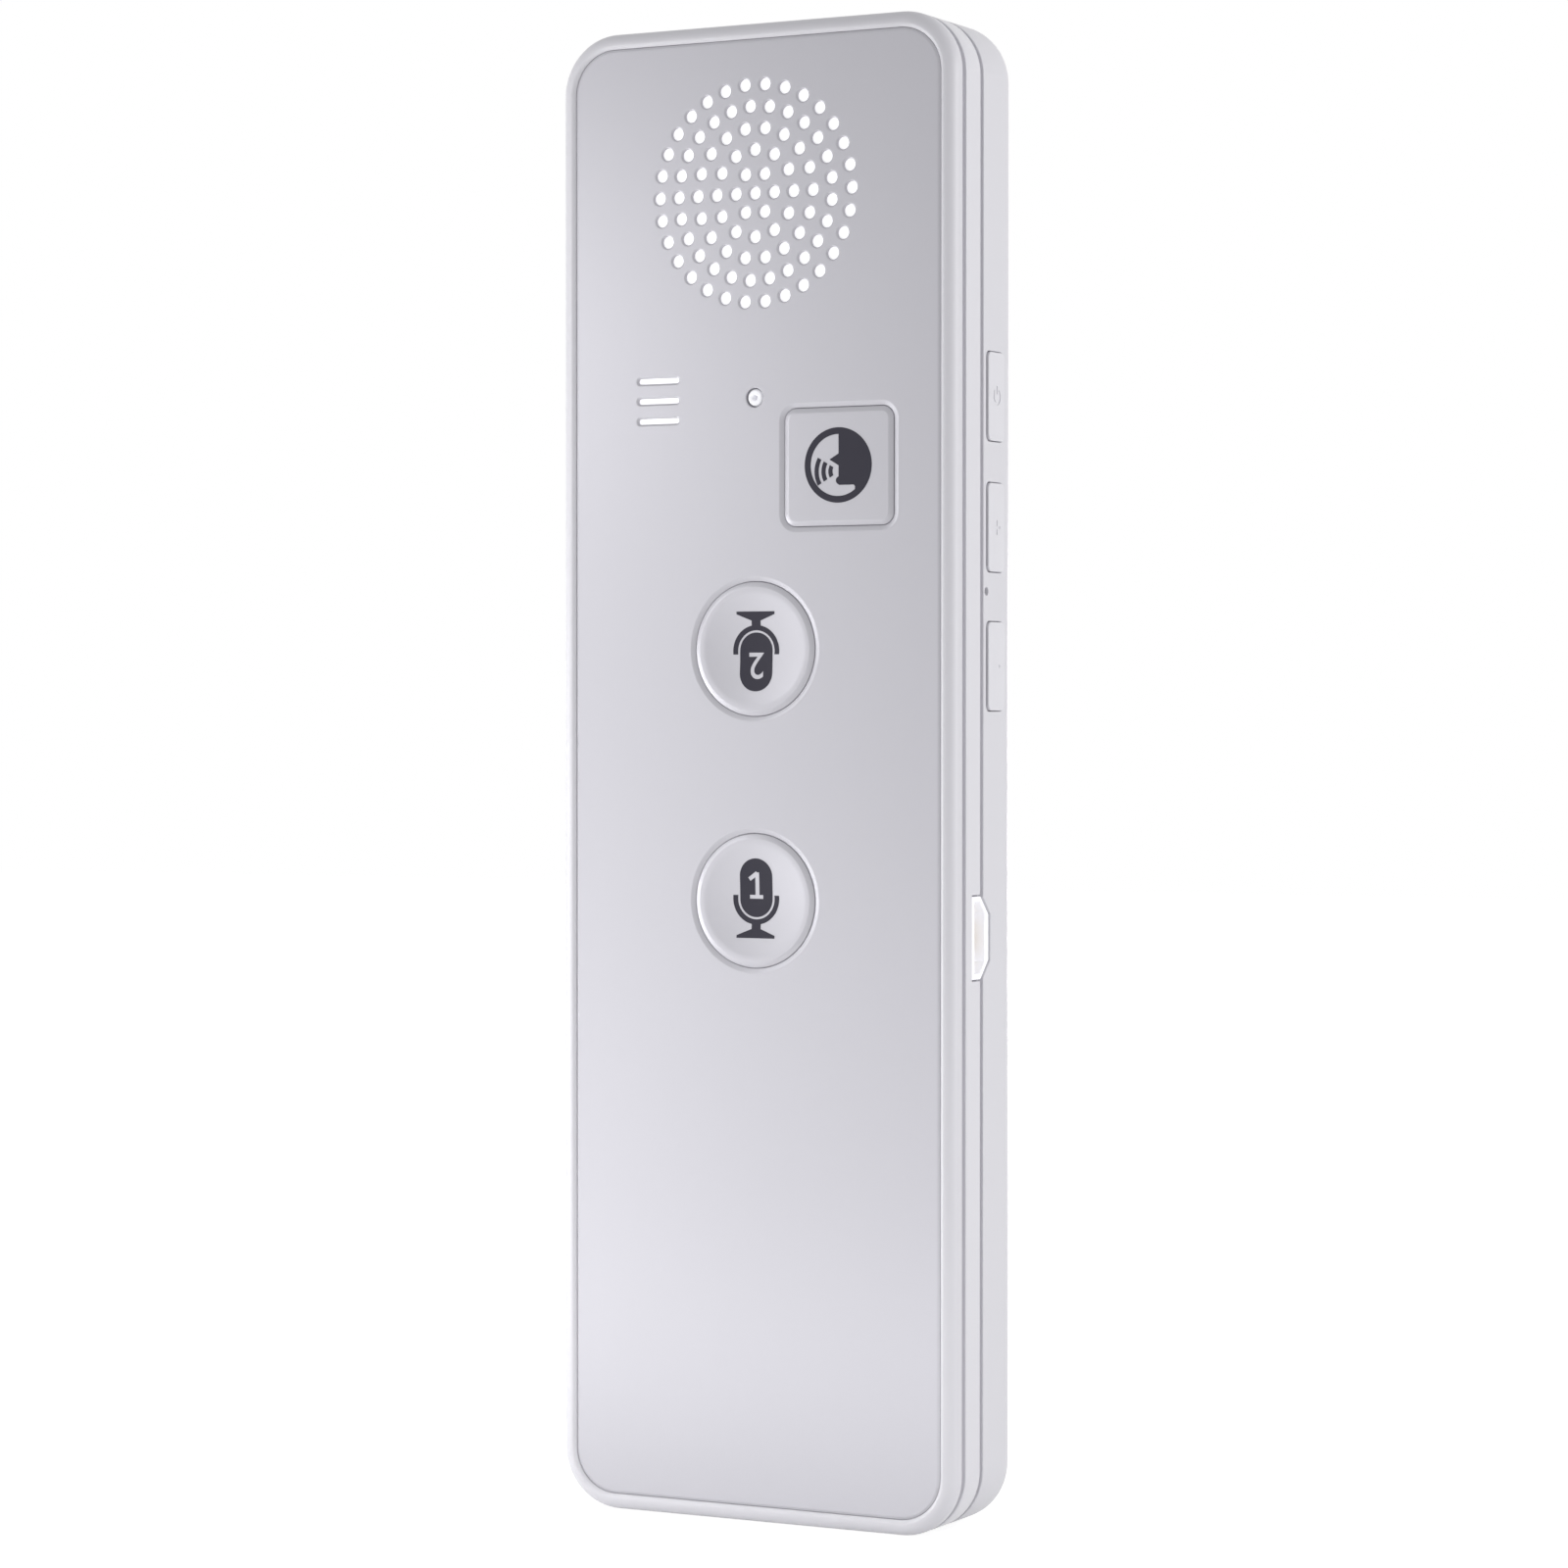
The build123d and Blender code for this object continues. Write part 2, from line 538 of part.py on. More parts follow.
def make_microphone_capsule():
    """Electret can with its two leads down to the board."""
    can = slab(disc(SLOT_X, SENSOR_Z, CAPSULE_RADIUS), JOINT_ONE + BOOT_FLOOR, CAPSULE_BACK)
    leads = [slab(disc(SLOT_X + side * CAPSULE_LEAD_OFFSET, SENSOR_Z, CAPSULE_LEAD_RADIUS),
                  CAPSULE_BACK, BOARD_FRONT) for side in (-1, 1)]
    return can + leads


def make_light_pipe():
    end = BOARD_FRONT - LED_SIZE[2] - LED_GAP
    pipe = slab(disc(0, SENSOR_Z, LED_PIPE_RADIUS), PANEL_FRONT + LED_PIPE_RECESS, end)
    pipe = fillet(front_edges(pipe), LED_PIPE_ROUND)
    collar_radius, collar_thickness = LED_PIPE_COLLAR
    return pipe + slab(disc(0, SENSOR_Z, collar_radius), JOINT_ONE, JOINT_ONE + collar_thickness)


# ---- charging port ----
def make_port_shell():
    """Folded metal shell with a flared mouth that fills the opening."""
    shell = side_slab(port_profile(SHELL_SIZE, SHELL_CHAMFER), PORT_MOUTH - SHELL_LENGTH, PORT_MOUTH)
    lip_size = tuple(size - 2 * PORT_LIP_INSET for size in PORT_SIZE)
    lip_profile = port_profile(lip_size, PORT_CHAMFER - PORT_LIP_INSET / 2)
    shell += side_slab(lip_profile, PORT_MOUTH - PORT_LIP_THICKNESS, PORT_MOUTH)
    inner_size = tuple(size - 2 * SHELL_WALL for size in SHELL_SIZE)
    cavity = port_profile(inner_size, SHELL_CHAMFER - SHELL_WALL / 2)
    return shell - side_slab(cavity, PORT_MOUTH - SHELL_LENGTH + SHELL_WALL, PORT_MOUTH)


def make_port_tongue():
    """Insulating block at the back of the port with the tongue that carries the contacts."""
    root = PORT_MOUTH - SHELL_LENGTH + SHELL_WALL
    inner_size = tuple(size - 2 * SHELL_WALL for size in SHELL_SIZE)
    base = side_slab(port_profile(inner_size, SHELL_CHAMFER - SHELL_WALL / 2), root, root + TONGUE_ROOT)
    tongue = Pos(TONGUE_DEPTH, PORT_Z) * Rectangle(*TONGUE_SIZE)
    return base + side_slab(tongue, root, PORT_MOUTH - TONGUE_RECESS)


def make_port_contacts():
    root = PORT_MOUTH - SHELL_LENGTH + SHELL_WALL + TONGUE_ROOT
    strips = []
    for index in range(CONTACT_COUNT):
        z = PORT_Z + (index - (CONTACT_COUNT - 1) / 2) * CONTACT_PITCH
        strip = Pos(PORT_DEPTH, z) * Rectangle(*CONTACT_SIZE)
        strips.append(side_slab(strip, root, PORT_MOUTH - CONTACT_RECESS))
    return Compound(children=strips)


# ---- board and battery ----
def make_main_board():
    height = BOARD_TOP - BOARD_BOTTOM
    sheet = RectangleRounded(2 * BOARD_HALF_WIDTH, height, BOARD_CORNER_RADIUS)
    shape = Pos(0, BOARD_BOTTOM + height / 2) * sheet
    shape -= [disc(x, z, BOSS_RADIUS + 2 * FIT_GAP) for x, z in boss_places()]
    shape -= [disc(x, z, BOARD_SCREW_RADIUS + FIT_GAP / 2) for x, z in POST_PLACES]
    return slab(shape, BOARD_FRONT, BOARD_BACK)


def make_shield_can():
    """Folded lid over the processor and memory, open towards the board."""
    x, z = SHIELD_PLACE
    width, height, thickness = SHIELD_SIZE
    can = block(x, z, width, height, BOARD_BACK, BOARD_BACK + thickness, SHIELD_CORNER_RADIUS)
    inside = block(x, z, width - 2 * SHIELD_WALL, height - 2 * SHIELD_WALL, BOARD_BACK,
                   BOARD_BACK + thickness - SHIELD_WALL, SHIELD_CORNER_RADIUS - SHIELD_WALL)
    return can - inside


def make_board_capacitors():
    """Two rows of small capacitors beside the charging chip."""
    parts = []
    rows, columns = CAPACITOR_GRID
    width, height, thickness = CAPACITOR_SIZE
    for row in range(rows):
        for column in range(columns):
            x = CAPACITOR_START[0] + CAPACITOR_PITCH[0] * column
            z = CAPACITOR_START[1] + CAPACITOR_PITCH[1] * row
            parts.append(block(x, z, width, height, BOARD_BACK, BOARD_BACK + thickness))
    return Compound(children=parts)


def make_battery_cell():
    width, height, _ = BATTERY_SIZE
    cell = block(0, BATTERY_MIDDLE, width, height, BATTERY_FRONT, BATTERY_BACK)
    return fillet(cell.edges().filter_by(Axis.Z), CELL_EDGE_RADIUS)


def make_battery_leads():
    """Two short insulated wires from the top of the cell to its plug."""
    top = BATTERY_BOTTOM + BATTERY_SIZE[1]
    wires = []
    for x in LEAD_PLACES:
        plane = Plane(origin=(x, LEAD_DEPTH - DEPTH / 2, top), z_dir=(0, 0, 1))
        wires.append(extrude(plane * Circle(LEAD_RADIUS), amount=PLUG_BOTTOM - top))
    return Compound(children=wires)


SIMPLE_BLOCKS = {
    # node: centre x, centre z, width, height, front depth, back depth
    "status_led": (0.0, SENSOR_Z, LED_SIZE[0], LED_SIZE[1], BOARD_FRONT - LED_SIZE[2], BOARD_FRONT),
    "processor_chip": (-6.0, 118.0, 11.0, 11.0, BOARD_BACK, BOARD_BACK + 1.0),
    "memory_chip": (4.0, 118.0, 6.0, 8.0, BOARD_BACK, BOARD_BACK + 0.9),
    "crystal": (-6.0, 128.0, 3.2, 2.5, BOARD_BACK, BOARD_BACK + 0.8),
    "audio_chip": (13.0, 131.0, 3.0, 3.0, BOARD_BACK, BOARD_BACK + 0.8),
    "charger_chip": (-2.0, 70.0, 4.0, 4.0, BOARD_BACK, BOARD_BACK + 0.9),
    "power_inductor": (5.0, 70.0, 4.0, 4.0, BOARD_BACK, BOARD_BACK + 1.9),
    "antenna_chip": (0.0, 141.6, 7.0, 2.0, BOARD_BACK, BOARD_BACK + 1.0),
    "battery_plug": (-4.2, 55.0, 5.0, 4.0, BOARD_BACK, BOARD_BACK + 3.0),
    "battery_tape": (0.0, BATTERY_MIDDLE, 26.0, 34.0, BATTERY_BACK, INSIDE_BACK),
    "battery_pad": (0.0, BATTERY_MIDDLE, 28.0, 32.0, BATTERY_FRONT - PAD_THICKNESS, BATTERY_FRONT),
}


def make_all():
    nodes = {
        "front_panel": make_front_panel(),
        "panel_adhesive": make_panel_adhesive(),
        "front_bezel": make_front_bezel(),
        "mid_frame": make_mid_frame(),
        "back_cover": make_back_cover(),
        "case_screws": make_case_screws(),
        "board_screws": make_board_screws(),
        "speaker_dust_cloth": make_speaker_dust_cloth(),
        "speaker_gasket": make_speaker_gasket(),
        "speaker_basket": make_speaker_basket(),
        "speaker_cone": make_speaker_cone(),
        "voice_coil": make_voice_coil(),
        "speaker_magnet": make_speaker_magnet(),
        "microphone_mesh": block(SLOT_X, SENSOR_Z, *SLOT_MESH[:2], PANEL_BACK, POCKET_FLOOR, SLOT_MESH[2]),
        "microphone_boot": make_microphone_boot(),
        "microphone_capsule": make_microphone_capsule(),
        "light_pipe": make_light_pipe(),
        "port_shell": make_port_shell(),
        "port_tongue": make_port_tongue(),
        "port_contacts": make_port_contacts(),
        "main_board": make_main_board(),
        "shield_can": make_shield_can(),
        "board_capacitors": make_board_capacitors(),
        "reset_switch": make_reset_switch(),
        "battery_cell": make_battery_cell(),
        "battery_leads": make_battery_leads(),
        "speak_key": make_speak_key(),
        "speak_plunger": make_plunger(SPEAK_X, SPEAK_Z),
        "speak_switch": make_switch(SPEAK_X, SPEAK_Z),
    }
    for name, z in TALK_KEYS.items():
        nodes[f"talk_key_{name}"] = make_talk_key(z)
        nodes[f"talk_plunger_{name}"] = make_plunger(0, z)
        nodes[f"talk_switch_{name}"] = make_switch(0, z)
    for name, z in SIDE_KEYS.items():
        nodes[f"{name}_key"] = make_side_key(z)
        nodes[f"{name}_plunger"] = make_side_plunger(z)
        nodes[f"{name}_switch"] = make_side_switch(z)
    for name, sizes in SIMPLE_BLOCKS.items():
        nodes[name] = block(*sizes)
    return nodes


os.makedirs("parts", exist_ok=True)
for node_name, shape in make_all().items():
    export_step(shape, f"parts/{node_name}.step")
    print(f"{node_name}: {len(shape.solids())} solid(s), {shape.volume:.1f} mm3")
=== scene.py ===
"""Looks of a handheld voice translator: its shell, keys, grille and marks, their finishes, and a plain studio.

Drawing coordinates are millimetres: x to the right, depth backwards from the front of the bezel, z up from
the bottom end. place() turns them into Blender's metres.
"""

from __future__ import annotations

import logging
import math
from contextlib import contextmanager
from dataclasses import dataclass, field
from enum import Enum
from typing import Callable, Iterator, Mapping, Sequence

import bmesh
import bpy
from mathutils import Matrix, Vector

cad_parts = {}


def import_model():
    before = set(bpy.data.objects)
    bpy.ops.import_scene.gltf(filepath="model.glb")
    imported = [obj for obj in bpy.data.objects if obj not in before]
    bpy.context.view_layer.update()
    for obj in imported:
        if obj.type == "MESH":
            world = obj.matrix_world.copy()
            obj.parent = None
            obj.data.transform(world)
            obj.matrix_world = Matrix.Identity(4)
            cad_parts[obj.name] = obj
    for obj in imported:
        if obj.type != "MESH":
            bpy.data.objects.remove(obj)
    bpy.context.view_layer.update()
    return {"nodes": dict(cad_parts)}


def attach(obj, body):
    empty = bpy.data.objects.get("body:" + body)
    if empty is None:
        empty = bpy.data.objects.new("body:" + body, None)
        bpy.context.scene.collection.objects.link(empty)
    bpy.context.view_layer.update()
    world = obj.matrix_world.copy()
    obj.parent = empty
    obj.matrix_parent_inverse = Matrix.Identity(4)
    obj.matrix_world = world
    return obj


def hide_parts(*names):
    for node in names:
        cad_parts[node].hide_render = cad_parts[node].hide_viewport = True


logging.basicConfig(level=logging.INFO, format="%(message)s")
LOG = logging.getLogger("translator")

MM = 0.001
CASE_DEPTH = 14.0
SIDE_FACE = 22.0

# How near a face or edge lies to the place that is asked for, and how closely it looks the way that is asked for.
NEAR = 0.01
FLAT = 0.999
FACING = 0.9

# How far a cutting tool reaches past the piece, how deep an added solid starts inside it, and how much smaller a
# corner radius is than half the width of a bar with round ends.
PAST = 1.0
SUNK = 0.3
ROUND_END = 0.02

# Distances in metres within which points lie in one plane, and within which they become one point.
LEVEL_WITHIN = 2e-7
MERGE_WITHIN = 2.2e-6

HOUSING = "housing"
MOST_SIDES = 4
SMOOTH_ANGLE = math.radians(32)

Profile = tuple[tuple[float, float], ...]
PlaceTest = Callable[[Vector, Vector], bool]


# ---------------------------------------------------------------- drawing
class Along(Enum):
    """The direction in which a profile is extruded, as an index into x, depth, z."""

    SIDEWAYS = 0
    BACKWARDS = 1


class Join(Enum):
    """How one solid is combined with another."""

    ADD = "UNION"
    CUT = "DIFFERENCE"
    COMMON = "INTERSECT"


def place(x: float, depth: float, z: float) -> Vector:
    """Turn drawing coordinates into Blender's.

    Args:
        x: Distance to the right of the middle, in millimetres.
        depth: Distance behind the front of the bezel, in millimetres.
        z: Height above the bottom end, in millimetres.

    Returns:
        The point in metres.
    """
    return Vector((x, depth - CASE_DEPTH / 2, z)) * MM


def drawn(point: Vector) -> Vector:
    """Turn a point in metres back into drawing coordinates.

    Args:
        point: A point of a mesh, in metres.

    Returns:
        Its x, depth and z in millimetres.
    """
    return Vector((point.x / MM, point.y / MM + CASE_DEPTH / 2, point.z / MM))


def face_at(level: float, along: Along = Along.BACKWARDS) -> PlaceTest:
    """Make a test for flat faces at one depth, or at one x, that are square to that direction."""
    axis = along.value
    return lambda centre, normal: abs(centre[axis] - level) < NEAR and abs(normal[axis]) > FLAT


def edges_at(level: float, along: Along = Along.BACKWARDS) -> PlaceTest:
    """Make a test for edges that lie at one depth, or at one x."""
    axis = along.value
    return lambda start, end: abs(start[axis] - level) < NEAR and abs(end[axis] - level) < NEAR


def in_one_plane(faces: Sequence[bmesh.types.BMFace]) -> bool:
    """Tell whether faces lie together in one plane that is square to an axis."""
    points = [vertex.co for face in faces for vertex in face.verts]
    return any(max(parts) - min(parts) < LEVEL_WITHIN for parts in zip(*points))


# ---------------------------------------------------------------- operations on what is selected
def inset(thickness: float, rise: float = 0.0) -> None:
    """Inset the selected faces, and move them along their normal by a rise, both in millimetres."""
    bpy.ops.mesh.inset(thickness=thickness * MM, depth=rise * MM, use_even_offset=True)


def extrude(x: float = 0.0, depth: float = 0.0, z: float = 0.0) -> None:
    """Extrude the selected faces by a distance in drawing coordinates."""
    move = {"value": (x * MM, depth * MM, z * MM)}
    bpy.ops.mesh.extrude_region_move(TRANSFORM_OT_translate=move)


def bevel(width: float, segments: int) -> None:
    """Bevel the selected edges to a width in millimetres."""
    bpy.ops.mesh.bevel(
        offset_type="OFFSET", offset=width * MM, segments=segments, profile=0.5, affect="EDGES", clamp_overlap=False
    )


def step_in(profile: Profile) -> None:
    """Narrow the selected end step by step, each a width across and a rise, in millimetres."""
    for width, rise in profile:
        inset(width, rise)


# ---------------------------------------------------------------- profiles, as steps of a width across and a rise
def total_width(profile: Profile) -> float:
    """Add up the widths of the steps."""
    return sum(width for width, _ in profile)


def total_rise(profile: Profile) -> float:
    """Add up the rises of the steps."""
    return sum(rise for _, rise in profile)


def rounded(radius: float, steps: int = 3) -> Profile:
    """Describe a rounded edge.

    Args:
        radius: Its radius, in millimetres.
        steps: Number of facets across it.

    Returns:
        The steps from the outside in.
    """
    angles = [math.pi / 2 * step / steps for step in range(steps + 1)]
    return tuple(
        (radius * (math.sin(after) - math.sin(before)), radius * (math.cos(before) - math.cos(after)))
        for before, after in zip(angles, angles[1:])
    )


# The sloping edge of the front keys, which their openings in the panel repeat.
RIM: Profile = ((0.03, 0.05), (0.05, 0.03), (0.42, 0.15), (0.06, 0.012))
RIM_WIDTH, RIM_DEPTH = total_width(RIM), total_rise(RIM)


# ---------------------------------------------------------------- pieces on the bench
class Workpiece:
    """One piece on the bench, shaped with modelling operators."""

    def __init__(self, thing: bpy.types.Object, name: str) -> None:
        """Take over a new object, fix its place in its mesh and name it.

        Args:
            thing: The object that an operator has just added.
            name: Name for the object and its mesh.
        """
        self.thing = thing
        thing.name = thing.data.name = name
        self.settle()

    def activate(self) -> None:
        """Select this piece alone and make it the active one."""
        bpy.ops.object.select_all(action="DESELECT")
        self.thing.select_set(True)
        bpy.context.view_layer.objects.active = self.thing

    def settle(self) -> None:
        """Apply the object's place, turn and scale to its mesh."""
        self.activate()
        bpy.ops.object.transform_apply(location=True, rotation=True, scale=True)

    def turn_and_move(self, turn: tuple[float, float, float], to: Vector) -> None:
        """Turn the piece about the origin, move it and apply both.

        Args:
            turn: Rotation about x, y and z, in radians.
            to: Where the origin of the piece goes, in metres.
        """
        self.thing.rotation_euler = turn
        self.thing.location = to
        self.settle()

    def move(self, x: float = 0.0, depth: float = 0.0, z: float = 0.0) -> None:
        """Shift the piece by a distance in drawing coordinates."""
        self.turn_and_move((0, 0, 0), Vector((x, depth, z)) * MM)

    @contextmanager
    def faces(self, test: PlaceTest) -> Iterator[None]:
        """Open the mesh for editing with the faces selected that pass a test of centre and normal."""
        with self._editing("FACE", lambda face: test(drawn(face.calc_center_median()), face.normal)):
            yield

    @contextmanager
    def edges(self, test: PlaceTest) -> Iterator[None]:
        """Open the mesh for editing with the edges selected that pass a test of their two ends."""
        with self._editing("EDGE", lambda edge: test(*(drawn(vertex.co) for vertex in edge.verts))):
            yield

    @contextmanager
    def _editing(self, kind: str, test: Callable[..., bool], needed: bool = True) -> Iterator[None]:
        """Open the mesh for editing with only the faces or edges selected that pass a test.

        Args:
            kind: FACE or EDGE.
            test: Says whether one face or edge is wanted.
            needed: Whether it is a fault when none passes.

        Yields:
            Nothing; the operators inside the block act on the selection.
        """
        self.activate()
        bpy.ops.object.mode_set(mode="EDIT")
        bpy.ops.mesh.select_mode(type=kind)
        bpy.ops.mesh.select_all(action="DESELECT")
        mesh = bmesh.from_edit_mesh(self.thing.data)
        chosen = [part for part in (mesh.faces if kind == "FACE" else mesh.edges) if test(part)]
        if needed and not chosen:
            raise ValueError(f"{self.thing.name}: no {kind.lower()} passes the test")
        for part in chosen:
            part.select_set(True)
        bmesh.update_edit_mesh(self.thing.data)
        yield
        bpy.ops.object.mode_set(mode="OBJECT")

    def round_edges(self, test: PlaceTest, width: float, segments: int = 3) -> None:
        """Round the edges that pass a test."""
        with self.edges(test):
            bevel(width, segments)

    def copy(self, name: str) -> Workpiece:
        """Copy the piece with a mesh of its own.

        Args:
            name: Name of the copy.

        Returns:
            The copy, in the same place.
        """
        twin = self.thing.copy()
        twin.data = self.thing.data.copy()
        bpy.context.scene.collection.objects.link(twin)
        return Workpiece(twin, name)

    def moved_copy(self, name: str, x: float = 0.0, z: float = 0.0) -> Workpiece:
        """Copy the piece and shift the copy across and up, in millimetres."""
        twin = self.copy(name)
        twin.move(x=x, z=z)
        return twin

    def discard(self) -> None:
        """Take the piece off the bench."""
        bpy.data.objects.remove(self.thing, do_unlink=True)

    def gather(self, others: Sequence[Workpiece]) -> None:
        """Join other pieces into this one without changing their shape."""
        if others:
            self.activate()
            for other in others:
                other.thing.select_set(True)
            bpy.ops.object.join()

    def combine(self, how: Join, tools: Sequence[Workpiece]) -> None:
        """Add, cut away or keep what is common with tools that don't touch each other, and use them up.

        Args:
            how: Whether the tools are added, cut away or intersected.
            tools: The other solids.
        """
        tool = tools[0]
        tool.gather(tools[1:])
        self.activate()
        change = self.thing.modifiers.new(how.name.lower(), "BOOLEAN")
        change.operation, change.object, change.solver = how.value, tool.thing, "EXACT"
        bpy.ops.object.modifier_apply(modifier=change.name)
        tool.discard()
        if not self.thing.data.polygons:
            raise ValueError(f"{self.thing.name}: nothing is left after {how.name.lower()}")
        self.clean(merge=False)

    def cut(self, *tools: Workpiece) -> None:
        """Cut tools away that don't touch each other."""
        self.combine(Join.CUT, tools)

    def add(self, *tools: Workpiece) -> None:
        """Add solids that don't touch each other."""
        self.combine(Join.ADD, tools)

    def clean(self, merge: bool = True) -> None:
        """Divide faces with many sides, and turn every face outwards.

        Args:
            merge: Whether points that coincide are merged as well.
        """
        with self._editing("FACE", lambda face: len(face.verts) > MOST_SIDES, needed=False):
            bpy.ops.mesh.quads_convert_to_tris(quad_method="BEAUTY", ngon_method="BEAUTY")
            bpy.ops.mesh.select_all(action="SELECT")
            if merge:
                bpy.ops.mesh.remove_doubles(threshold=MERGE_WITHIN)
            bpy.ops.mesh.normals_make_consistent(inside=False)

    def smooth(self) -> None:
        """Shade the rounded edges smoothly and let the flat faces keep their own direction."""
        self.activate()
        bpy.ops.object.shade_smooth_by_angle(angle=SMOOTH_ANGLE)
        with self._editing("FACE", lambda face: in_one_plane([face]), needed=False):
            bpy.ops.mesh.mod_weighted_strength(set=True, face_strength="STRONG")
        with self._editing("EDGE", lambda edge: in_one_plane(edge.link_faces), needed=False):
            bpy.ops.mesh.mark_sharp(clear=True)
        flats = self.thing.modifiers.new("flat_faces", "WEIGHTED_NORMAL")
        flats.mode = "CORNER_ANGLE"
        flats.keep_sharp = flats.use_face_influence = True
        bpy.ops.object.modifier_apply(modifier=flats.name)

    def finish(self, shop: FinishShop, slot: str, body: str, replaces: Sequence[str] = ()) -> None:
        """Clean the mesh, smooth it, dress it and fix it to its body.

        Args:
            shop: Where the finishes come from.
            slot: The material slot that the piece takes its finish from.
            body: The moving body that carries the piece.
            replaces: The plain nodes that the piece stands for.
        """
        self.clean()
        self.smooth()
        self.thing.data.materials.clear()
        self.thing.data.materials.append(shop.material(slot))
        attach(self.thing, body)
        if replaces:
            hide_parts(*replaces)
        LOG.info("%-22s %6d faces on %s", self.thing.name, len(self.thing.data.polygons), body)


# ---------------------------------------------------------------- primitives, drawn in millimetres
def block(
    name: str,
    centre: tuple[float, float, float],
    size: tuple[float, float, float],
    radius: float = 0.0,
    along: Along = Along.BACKWARDS,
    segments: int = 8,
) -> Workpiece:
    """Make a block, with its corners rounded as seen along one direction.

    Args:
        name: Name of the piece.
        centre: Its middle, as x, depth and z.
        size: Its width, thickness and height along x, depth and z.
        radius: Corner radius, or 0 for sharp corners.
        along: The direction in which the rounded outline is extruded.
        segments: Facets in each rounded corner.

    Returns:
        The new piece.
    """
    bpy.ops.mesh.primitive_cube_add(size=1, location=place(*centre), scale=[side * MM for side in size])
    piece = Workpiece(bpy.context.object, name)
    if radius:
        across = [index for index in range(3) if index != along.value]
        piece.round_edges(
            lambda start, end: all(abs(start[index] - end[index]) < NEAR for index in across), radius, segments
        )
    return piece


def disc(
    name: str,
    centre: tuple[float, float],
    radius: float,
    ends: tuple[float, float],
    along: Along = Along.BACKWARDS,
    sides: int = 48,
) -> Workpiece:
    """Make a round bar or disc.

    Args:
        name: Name of the piece.
        centre: x and z where it runs backwards, depth and z where it runs sideways.
        radius: Its radius.
        ends: Where it starts and ends along its direction.
        along: The direction in which it runs.
        sides: Number of facets round it.

    Returns:
        The new piece.
    """
    middle, length = sum(ends) / 2, ends[1] - ends[0]
    backwards = along is Along.BACKWARDS
    spot = place(centre[0], middle, centre[1]) if backwards else place(middle, *centre)
    turn = (math.pi / 2, 0, 0) if backwards else (0, math.pi / 2, 0)
    bpy.ops.mesh.primitive_cylinder_add(
        vertices=sides, radius=radius * MM, depth=length * MM, location=spot, rotation=turn
    )
    return Workpiece(bpy.context.object, name)


def tube(
    name: str,
    centre: tuple[float, float],
    radii: tuple[float, float],
    ends: tuple[float, float],
    along: Along = Along.BACKWARDS,
    sides: int = 48,
) -> Workpiece:
    """Make a round tube, with the outer and the inner of two radii and the rest as for a disc."""
    outer, inner = radii
    piece = disc(name, centre, outer, ends, along, sides)
    piece.cut(disc("bore", centre, inner, (ends[0] - PAST, ends[1] + PAST), along, sides))
    return piece


def sink(
    tool: Workpiece, surface: float, end: float, profile: Profile = (), along: Along = Along.BACKWARDS
) -> None:
    """Carry a cutting tool on from a surface into the piece, past a rounded or sloping edge.

    Args:
        tool: A tool that ends at the surface, as wide as the outside of the edge.
        surface: Depth of the surface, or its x for a tool that comes in from the right side.
        end: Depth or x where the tool ends.
        profile: The edge; without one it is sharp.
        along: Backwards from the front, or sideways from the right.
    """
    run = abs(end - surface) - total_rise(profile)
    with tool.faces(face_at(surface, along)):
        step_in(profile)
        if along is Along.SIDEWAYS:
            extrude(x=-run)
        else:
            extrude(depth=run)


@dataclass(frozen=True)
class CaseOutline:
    """The rounded outline that every layer of the case shares, as seen from the front."""

    width: float = 2 * SIDE_FACE
    height: float = 148.0
    corner: float = 6.0
    facets: int = 16

    def slab(self, name: str, margin: float, front: float, back: float) -> Workpiece:
        """Make a solid slab of the outline.

        Args:
            name: Name of the piece.
            margin: How far the outline is moved inwards.
            front: Depth of its front face.
            back: Depth of its back face.

        Returns:
            The new piece.
        """
        size = (self.width - 2 * margin, back - front, self.height - 2 * margin)
        centre = (0.0, (front + back) / 2, self.height / 2)
        return block(name, centre, size, self.corner - margin, segments=self.facets)

    def ring(self, name: str, outer: float, inner: float, front: float, back: float) -> Workpiece:
        """Make a frame between two margins, by opening a slab and bridging the hole."""
        piece = self.slab(name, outer, front, back)
        self.open_through(piece, outer, inner, front, back)
        return piece

    def open_through(self, piece: Workpiece, outer: float, inner: float, front: float, back: float) -> None:
        """Open a piece from front to back inside a margin, and close the hole with a wall.

        Args:
            piece: A slab whose front and back faces lie at the two depths.
            outer: Margin of those faces.
            inner: Margin of the hole.
            front: Depth of the front face.
            back: Depth of the back face.
        """
        for depth in (front, back):
            with piece.faces(face_at(depth)):
                inset(inner - outer)
                bpy.ops.mesh.delete(type="FACE")
        with piece.edges(
            lambda start, end: all(
                abs(self.margin_of(point) - inner) < NEAR and min(abs(point.y - front), abs(point.y - back)) < NEAR
                for point in (start, end)
            )
        ):
            bpy.ops.mesh.bridge_edge_loops()

    def margin_of(self, point: Vector) -> float:
        """Tell how far a point lies inside the outline."""
        across = abs(point.x) - self.width / 2 + self.corner
        up = abs(point.z - self.height / 2) - self.height / 2 + self.corner
        outside = math.hypot(max(across, 0.0), max(up, 0.0)) + min(max(across, up), 0.0)
        return self.corner - outside


